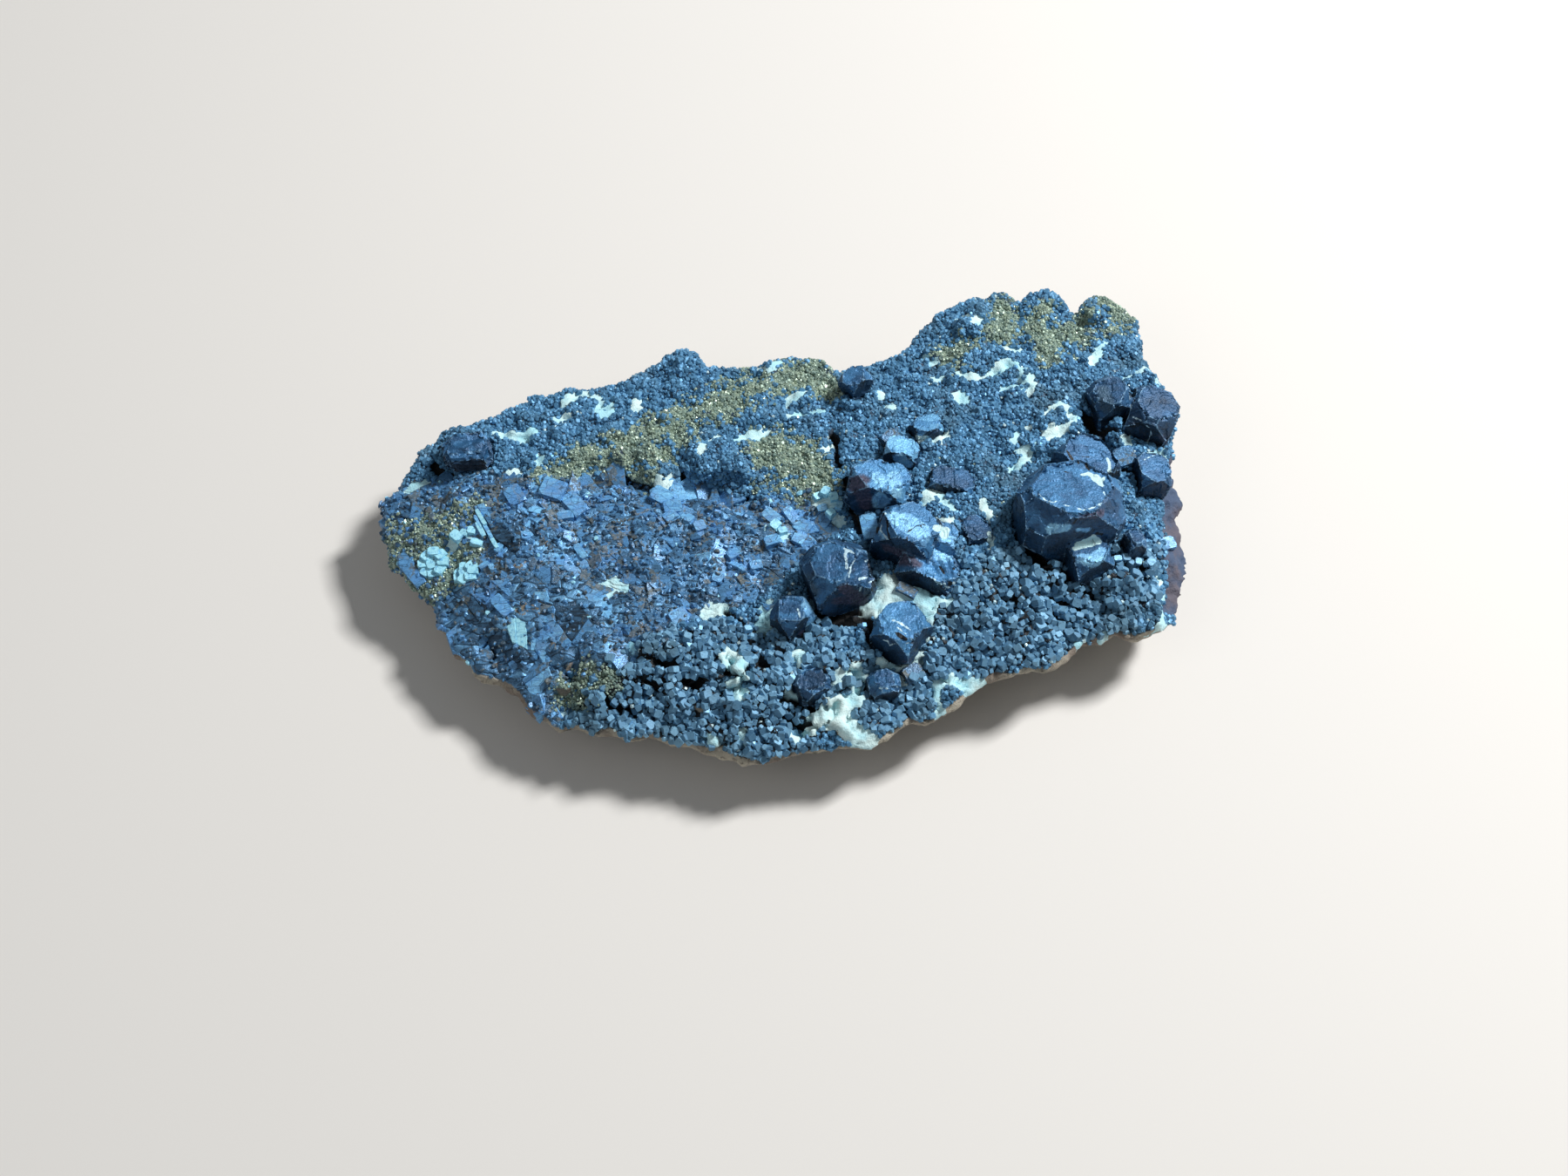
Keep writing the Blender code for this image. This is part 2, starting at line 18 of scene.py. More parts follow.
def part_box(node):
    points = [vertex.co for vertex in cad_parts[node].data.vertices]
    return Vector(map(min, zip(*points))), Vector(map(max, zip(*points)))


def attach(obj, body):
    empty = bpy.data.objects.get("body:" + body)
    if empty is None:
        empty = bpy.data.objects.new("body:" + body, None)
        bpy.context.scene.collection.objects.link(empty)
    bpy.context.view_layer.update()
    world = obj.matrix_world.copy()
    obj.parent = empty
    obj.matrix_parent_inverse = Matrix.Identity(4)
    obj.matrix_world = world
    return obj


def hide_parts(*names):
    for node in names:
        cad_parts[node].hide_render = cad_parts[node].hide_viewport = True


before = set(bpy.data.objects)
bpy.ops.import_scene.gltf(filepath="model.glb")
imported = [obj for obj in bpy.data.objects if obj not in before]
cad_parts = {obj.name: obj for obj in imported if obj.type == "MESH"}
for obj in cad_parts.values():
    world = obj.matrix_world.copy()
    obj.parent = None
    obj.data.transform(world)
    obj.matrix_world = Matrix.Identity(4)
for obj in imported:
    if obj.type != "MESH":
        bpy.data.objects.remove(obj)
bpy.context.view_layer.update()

MM = 0.001
SEED = 23

# Camera: its angle above the ground, lens, sensor width and distance, and the place it looks at
CAMERA_ELEVATION = 60.0
CAMERA_LENS = 50.0
CAMERA_SENSOR = 36.0
CAMERA_DISTANCE = 262.0
CAMERA_TARGET = (0.5, -10.9, 10.0)

# Light: the sky's colour and strength, and the name, place, size and power of each lamp
SKY_COLOUR = (0.9, 0.95, 1.0, 1.0)
SKY_STRENGTH = 0.17
LAMP_AIM = (0, 0, 8)
LAMPS = [("key", (400, 220, 500), 120, 5.7), ("fill", (-380, -260, 420), 420, 0.38)]
FLOOR_SIZE = 4000.0

# Finest detail of the modelled surfaces, and a height above all of them
CRUST_VOXEL = 0.39
CRYSTAL_VOXEL = 0.17
ABOVE_ALL = 40

# Small crystals of the crust: places tried on each square mm, sizes, how much of its size each
# keeps free, and how much larger and wider apart they are where the crust is coarse
CRUST_TRIES = 34.0
PYRITE_SIZE = 0.31
GALENA_SIZE = 0.44
COARSE_SIZE_GAIN = 0.22
# Size of the few grains painted near white as painted glints
PAINTED_GLINT_GRAIN_SIZE = 0.34
CRUST_SPACING = 0.7
COARSE_SPACING_GAIN = 0.14

# Broken field: the direction of its grain, how much its fragments are stretched along it, places
# tried for fragments in a square of this half width, their spacing, and the chips between them
GRAIN = math.radians(-50)
GRAIN_STRETCH = 1.22
FIELD_TRIES = 60000
FIELD_REACH = 60
FRAGMENT_SPACING = 1.25
LARGE_SPACING_GAIN = 1.7
CHIP_TRIES = 14.0
CHIP_SPACING = 0.58

# Pale rock that shows between the crystals of the crust
PALE_ROCK = [
    [(4.8, 0.9, 0.8), (6.4, 0.2, 0.8)], [(5.8, -1.0, 0.6), (7.1, -1.9, 0.6)],
    [(-0.8, -2.8, 0.7), (0.3, -3.8, 0.7)],
    [(10.8, -14.8, 1.2), (13.0, -12.0, 1.8), (15.2, -11.4, 1.7), (17.3, -13.4, 1.7), (17.1, -16.1, 1.2)],
    [(13.8, -14.2, 1.4), (14.7, -12.7, 1.4)],
    [(16.7, -13.4, 0.9), (17.5, -15.5, 0.9), (17.1, -18.0, 0.9)],
    [(-27.3, 14.9, 0.39), (-26.6, 16.6, 0.5), (-24.8, 17.5, 0.54), (-23.0, 16.9, 0.5),
     (-22.4, 15.8, 0.43)],
    [(-22.9, 15.4, 0.43), (-23.0, 14.1, 0.5), (-22.0, 13.3, 0.5), (-21.2, 14.1, 0.47),
     (-21.5, 15.4, 0.43)],
    [(-27.8, 12.8, 0.43), (-26.9, 13.4, 0.5)],
    [(-35.7, 11.0, 0.29), (-34.0, 10.7, 0.54), (-32.2, 10.2, 0.79), (-30.8, 10.9, 0.47)],
    [(-17.8, 15.4, 0.57), (-17.8, 15.3, 0.57)],
    [(-45.4, 2.8, 0.5), (-46.1, 3.6, 0.43), (-45.5, 4.2, 0.43), (-44.6, 4.2, 0.29), (-43.6, 4.8, 0.32)],
    [(-32.2, 16.5, 0.5), (-32.0, 16.5, 0.47)], [(-33.2, 5.2, 0.32), (-32.3, 5.2, 0.32)],
    [(-29.8, 6.7, 0.36), (-29.3, 6.9, 0.21)], [(1.2, 15.5, 0.43), (2.4, 16.4, 0.54), (3.4, 17.2, 0.36)],
    [(-2.3, 21.1, 0.32), (-0.9, 20.9, 0.36), (-0.2, 22.3, 0.32)],
    [(-10.1, 7.1, 0.29), (-9.1, 8.2, 0.32), (-8.0, 9.7, 0.29)],
    [(-5.8, 9.1, 0.39), (-4.4, 9.6, 0.5), (-2.6, 10.3, 0.5), (-1.4, 11.2, 0.18)],
    [(1.3, 13.1, 0.21), (2.6, 13.8, 0.21), (5.7, 14.0, 0.18)],
    [(-15.5, 3.2, 0.43), (-14.5, 2.9, 0.39), (-13.3, 4.1, 0.43)],
    [(-25.5, 4.3, 0.36), (-24.4, 4.2, 0.32)], [(5.4, 8.4, 0.47), (6.2, 8.6, 0.47)],
    [(-40.1, -4.2, 0.51), (-39.4, -4.0, 0.51)], [(-37.7, -3.4, 0.51), (-37.4, -3.2, 0.44)],
    [(-20.9, -11.5, 1.0), (-20.1, -10.9, 1.0), (-20.2, -11.8, 0.8)],
    [(-18.8, -10.7, 0.6), (-18.5, -11.0, 0.55)], [(-15.1, 3.8, 0.63), (-14.7, 2.9, 0.44)],
    [(-8.5, -15.1, 0.8), (-7.7, -14.3, 1.0), (-6.9, -14.7, 0.7)],
    [(-1.2, -14.3, 1.0), (-1.4, -15.4, 1.0), (-1.9, -16.3, 0.8)],
    [(-5.6, -21.1, 1.3), (-5.1, -22.3, 1.5), (-4.8, -24.0, 1.4), (-4.9, -25.2, 1.1)],
    [(-18.6, -21.2, 0.41), (-18.2, -20.9, 0.38)], [(-17.5, -21.2, 0.41), (-16.9, -21.7, 0.41)],
    [(-25.3, -26.0, 0.35), (-25.3, -26.6, 0.35)], [(2.1, -21.0, 0.8), (2.3, -21.4, 0.75)],
    [(1.3, -25.2, 0.52), (1.5, -25.5, 0.46)],
    [(2.9, -29.6, 0.8), (4.9, -28.4, 1.2), (6.8, -27.5, 1.5), (8.6, -26.1, 1.3), (9.3, -25.2, 0.9)],
    [(6.9, -27.8, 1.4), (8.4, -29.4, 1.2), (10.6, -30.4, 0.7)],
    [(6.2, -24.5, 0.5), (7.6, -23.4, 0.7), (8.8, -22.7, 0.7), (9.7, -23.1, 0.5)],
    [(1.5, -29.6, 0.58), (1.9, -30.0, 0.46)], [(-8.6, -30.3, 0.35), (-7.6, -30.5, 0.35)],
    [(-4.4, -30.0, 0.46), (-4.0, -30.7, 0.52)],
    [(12.2, -21.5, 0.7), (13.9, -21.5, 0.9), (16.4, -21.3, 0.8)],
    [(14.9, -22.2, 0.9), (14.6, -23.3, 0.6)], [(17.2, 10.3, 0.46), (18.2, 9.2, 0.66), (19.7, 8.4, 0.4)],
    [(20.2, 9.2, 0.3), (20.6, 9.0, 0.3)],
    [(17.5, -1.0, 0.4), (17.9, -0.1, 0.53), (19.2, 0.5, 0.53), (20.2, -0.3, 0.4), (21.2, -1.8, 0.23)],
    [(18.8, -3.3, 0.46), (19.7, -4.0, 0.79), (20.6, -3.5, 0.46)],
    [(24.7, -1.1, 0.4), (25.6, -2.1, 0.46), (25.4, -3.2, 0.4)],
    [(25.1, -4.5, 0.3), (25.5, -5.7, 0.33), (25.6, -6.8, 0.2)],
    [(13.1, -11.6, 0.99), (15.3, -11.2, 0.99), (16.8, -13.7, 0.93), (16.7, -15.9, 0.66),
     (16.5, -17.1, 0.26)],
    [(13.6, -12.1, 0.86), (12.1, -13.9, 0.83), (10.9, -15.1, 0.46)],
    [(17.5, -13.8, 0.4), (19.9, -14.0, 0.23)], [(16.2, -10.3, 0.33), (17.5, -12.4, 0.46)],
    [(2.2, -21.1, 0.66), (2.4, -21.2, 0.6)], [(1.5, -25.4, 0.53), (1.7, -25.6, 0.5)],
    [(18.9, -23.8, 0.7), (21.1, -23.4, 0.9), (23.5, -23.3, 0.8)],
    [(18.6, -24.3, 0.4), (18.4, -25.8, 0.33), (18.7, -26.8, 0.4)],
    [(38.5, -17.0, 0.33), (39.4, -18.0, 0.43), (40.7, -18.8, 0.33)],
    [(45.7, -15.5, 0.6), (45.3, -16.9, 0.66), (43.3, -17.9, 0.6), (41.6, -18.8, 0.6),
     (40.5, -19.4, 0.4)],
    [(45.7, -9.1, 0.17), (46.0, -11.8, 0.23), (45.7, -14.9, 0.2)],
    [(35.9, -20.0, 0.3), (35.1, -20.6, 0.3), (34.3, -21.2, 0.26)],
    [(35.5, -18.3, 0.4), (35.8, -18.5, 0.33)], [(35.3, -7.0, 0.4), (36.9, -5.9, 0.6), (38.5, -5.1, 0.5)],
    [(37.0, 3.6, 0.25), (38.4, 4.0, 0.46), (39.3, 3.0, 0.51), (39.5, 2.0, 0.25)],
    [(39.5, 2.8, 0.31), (40.6, 4.6, 0.33), (40.6, 5.8, 0.31)],
    [(23.0, 27.9, 0.51), (24.1, 27.5, 0.46), (25.3, 26.8, 0.46), (24.5, 26.2, 0.41)],
    [(18.1, 22.5, 0.23), (18.6, 22.0, 0.31), (19.4, 21.3, 0.31)],
    [(19.3, 18.3, 0.41), (19.8, 18.8, 0.51), (20.3, 18.9, 0.31)],
    [(22.1, 15.3, 0.61), (22.8, 15.6, 0.66), (23.0, 14.9, 0.36)],
    [(22.7, 18.7, 0.31), (23.7, 18.3, 0.36), (25.0, 18.0, 0.38), (26.0, 18.3, 0.36), (27.1, 19.2, 0.38),
     (28.3, 20.1, 0.43), (29.7, 20.0, 0.36), (30.4, 19.0, 0.25)],
    [(28.1, 16.1, 0.2), (29.2, 16.3, 0.25), (30.2, 16.2, 0.41), (31.0, 15.6, 0.46), (31.8, 16.5, 0.46),
     (31.5, 17.8, 0.36)],
    [(30.2, 17.7, 0.46), (30.6, 17.3, 0.36)],
    [(28.7, 22.6, 0.23), (30.3, 22.4, 0.31), (31.0, 22.9, 0.23)],
    [(39.2, 20.7, 0.23), (40.0, 21.7, 0.36), (41.0, 23.2, 0.31), (41.5, 24.1, 0.18)],
    [(43.3, 18.3, 0.2), (45.1, 19.4, 0.23), (46.8, 20.1, 0.25), (47.3, 19.7, 0.18), (47.4, 17.8, 0.15)],
    [(13.8, 14.6, 0.36), (14.2, 14.3, 0.31)], [(12.6, 16.3, 0.31), (12.7, 15.9, 0.31)],
    [(20.5, 9.3, 0.25), (20.7, 9.1, 0.25)],
    [(32.8, 11.5, 0.31), (33.6, 12.9, 0.36), (35.2, 13.2, 0.38), (36.1, 11.9, 0.38), (36.4, 10.5, 0.33)],
    [(32.9, 8.8, 0.66), (34.2, 9.2, 0.87), (35.5, 9.8, 0.56)],
    [(31.1, 10.0, 0.25), (30.1, 10.0, 0.31), (29.1, 8.9, 0.31), (28.7, 7.7, 0.25)],
    [(30.7, 7.3, 0.41), (30.1, 5.5, 0.51), (29.0, 4.4, 0.41), (27.9, 3.9, 0.23)],
    [(29.6, 6.9, 0.41), (29.9, 6.5, 0.36)], [(42.9, 9.4, 0.46), (43.1, 8.9, 0.41)],
    [(43.9, 12.4, 0.2), (45.2, 11.7, 0.23), (46.5, 11.1, 0.25), (46.0, 9.1, 0.23)],
    [(43.9, 15.8, 0.13), (44.0, 13.3, 0.15)], [(44.9, 6.3, 0.2), (47.0, 7.9, 0.25), (47.8, 8.1, 0.23)],
]

# Pyrite
PYRITE = [
    [(-47.1, -3.9, 3.33), (-43.0, -2.9, 3.01), (-38.7, -1.2, 1.96), (-36.9, 0.5, 0.95)],
    [(-46.1, -7.8, 2.22), (-43.0, -9.7, 1.01)], [(-42.8, -8.4, 2.85), (-38.0, -6.5, 1.9)],
    [(-29.8, 4.2, 0.6), (-25.9, 5.3, 1.0), (-22.0, 7.5, 1.2), (-17.7, 9.5, 1.2), (-14.2, 11.0, 1.2),
     (-12.0, 9.1, 0.9)],
    [(-21.2, 5.6, 1.0), (-17.7, 7.2, 1.1), (-14.1, 7.6, 0.9)],
    [(-14.2, 13.2, 1.07), (-11.7, 13.5, 1.29), (-8.8, 14.6, 1.36), (-4.5, 16.9, 1.86),
     (-0.5, 18.5, 2.08), (3.9, 19.8, 1.79)],
    [(0.6, 21.9, 1.65), (3.2, 22.3, 1.5), (5.7, 18.1, 1.61)], [(-18.7, 5.0, 0.93), (-15.8, 4.0, 1.29)],
    [(-1.5, 7.8, 2.51), (1.7, 6.5, 3.4), (4.0, 3.7, 3.15), (0.6, 3.7, 1.97)],
    [(28.7, 30.5, 0.76), (28.8, 28.2, 1.43), (28.4, 25.1, 1.48)],
    [(33.3, 28.6, 1.27), (33.4, 25.7, 1.83), (35.1, 23.7, 1.94), (34.4, 21.1, 1.02)],
    [(37.8, 25.2, 1.17), (39.9, 28.5, 1.12), (42.1, 29.7, 1.12), (44.5, 27.5, 1.02)],
    [(21.5, 22.2, 1.07), (24.1, 23.3, 0.87)],
    [(-24.8, -24.2, 1.74), (-22.6, -22.3, 1.45), (-20.4, -23.1, 0.87)],
]

# Faces of the broken field painted bright: painted reflections of the lamp
BRIGHT_BREAKS = [
    [(-28.8, 2.5, 1.08), (-27.2, 1.5, 1.39)], [(-25.6, 0.5, 1.27), (-24.7, -1.2, 1.08)],
    [(-33.2, 1.4, 0.95), (-30.7, 0.3, 1.14), (-29.9, -1.3, 1.08)],
    [(-14.9, 1.4, 0.76), (-13.3, 0.7, 1.01), (-11.9, 1.5, 1.08)],
    [(-12.6, -1.2, 0.82), (-12.3, -1.5, 0.7)], [(-9.9, -3.1, 0.63), (-9.7, -3.3, 0.51)],
    [(-11.5, -2.8, 0.63), (-11.3, -3.2, 0.51)],
    [(-36.9, 0.5, 0.51), (-35.4, -2.4, 0.7), (-34.5, -4.6, 0.63), (-33.5, -6.3, 0.51)],
    [(-37.1, -5.0, 0.51), (-36.5, -5.7, 0.44)], [(-34.5, -12.6, 0.63), (-32.3, -13.8, 0.51)],
    [(-12.2, -14.9, 0.82), (-11.1, -15.4, 0.63)], [(-30.9, -4.6, 0.76), (-29.7, -3.5, 0.63)],
    [(-26.4, -7.9, 0.63), (-24.3, -6.1, 0.63)], [(-5.9, -7.8, 1.08), (-4.4, -9.0, 0.7)],
    [(-9.7, -7.3, 0.63), (-7.8, -8.3, 0.63)], [(-46.5, -7.4, 1.08), (-44.8, -9.6, 0.89)],
    [(-32.2, -18.1, 0.76), (-30.4, -15.1, 0.63)], [(-29.4, -19.6, 0.89), (-27.9, -19.0, 0.63)],
    [(-28.9, -24.7, 1.27), (-27.3, -26.2, 0.82)], [(-21.6, -12.6, 0.76), (-20.0, -13.8, 0.76)],
    [(-0.8, -1.4, 0.79), (1.5, -1.1, 0.66)], [(2.9, -2.0, 0.99), (3.6, -4.1, 0.6)],
    [(-0.3, -3.7, 0.86), (0.3, -4.7, 0.73)], [(4.7, 1.1, 0.6), (6.2, -0.1, 1.32), (7.7, 0.1, 0.53)],
    [(10.2, -2.1, 0.53), (11.3, -4.6, 0.46)],
]

# Dark faces of the broken field
DARK_BREAKS = [
    [(-33.4, -4.5, 0.76), (-32.3, -5.0, 0.57)], [(-25.7, 4.1, 0.82), (-20.6, 3.8, 0.63)],
    [(-26.4, -15.1, 0.82), (-24.0, -15.1, 0.76), (-23.0, -16.9, 0.63)],
    [(-21.3, -20.5, 0.76), (-21.0, -20.7, 0.63)], [(-40.4, -12.0, 1.27), (-37.0, -12.6, 1.27)],
    [(-18.5, -4.6, 0.82), (-16.9, -5.7, 0.63)], [(-27.5, -9.6, 1.08), (-25.7, -10.0, 0.95)],
]

# Brown stains of the broken field
STAINS = [
    [(-35.4, 1.9, 0.76), (-34.9, -0.6, 0.63)], [(-31.1, -13.5, 0.63), (-29.2, -13.8, 0.57)],
    [(-27.6, -17.5, 0.44), (-27.0, -18.1, 0.44)], [(-11.0, -13.6, 0.32), (-10.9, -13.9, 0.25)],
    [(-8.1, -9.9, 0.7), (-6.8, -9.8, 0.57)], [(-3.7, -9.8, 0.76), (-1.9, -9.5, 0.76)],
    [(-33.4, -9.3, 0.63), (-31.3, -8.3, 0.57)], [(-23.6, -7.9, 0.76), (-21.8, -6.5, 0.7)],
    [(-15.7, -14.2, 0.63), (-15.4, -15.1, 0.57)], [(-29.2, -2.1, 0.44), (-28.4, -4.6, 0.57)],
    [(-16.7, -11.6, 0.51), (-15.1, -12.0, 0.51)], [(-20.3, -4.3, 0.63), (-19.4, -5.0, 0.57)],
    [(1.6, 0.1, 0.66), (0.3, 1.3, 0.53)], [(0.3, -11.4, 0.66), (2.3, -10.0, 0.53)],
    [(47.2, -1.3, 0.66), (45.5, -4.2, 0.53)],
]

# Where the broken field has large plates
LARGE_PLATES = [
    [(-41.0, -14.0, 4.0), (-36.0, -17.0, 5.0), (-30.0, -18.0, 5.0), (-25.0, -20.0, 4.0)],
    [(-24.0, -14.0, 4.0), (-29.0, -13.0, 4.0)],
]

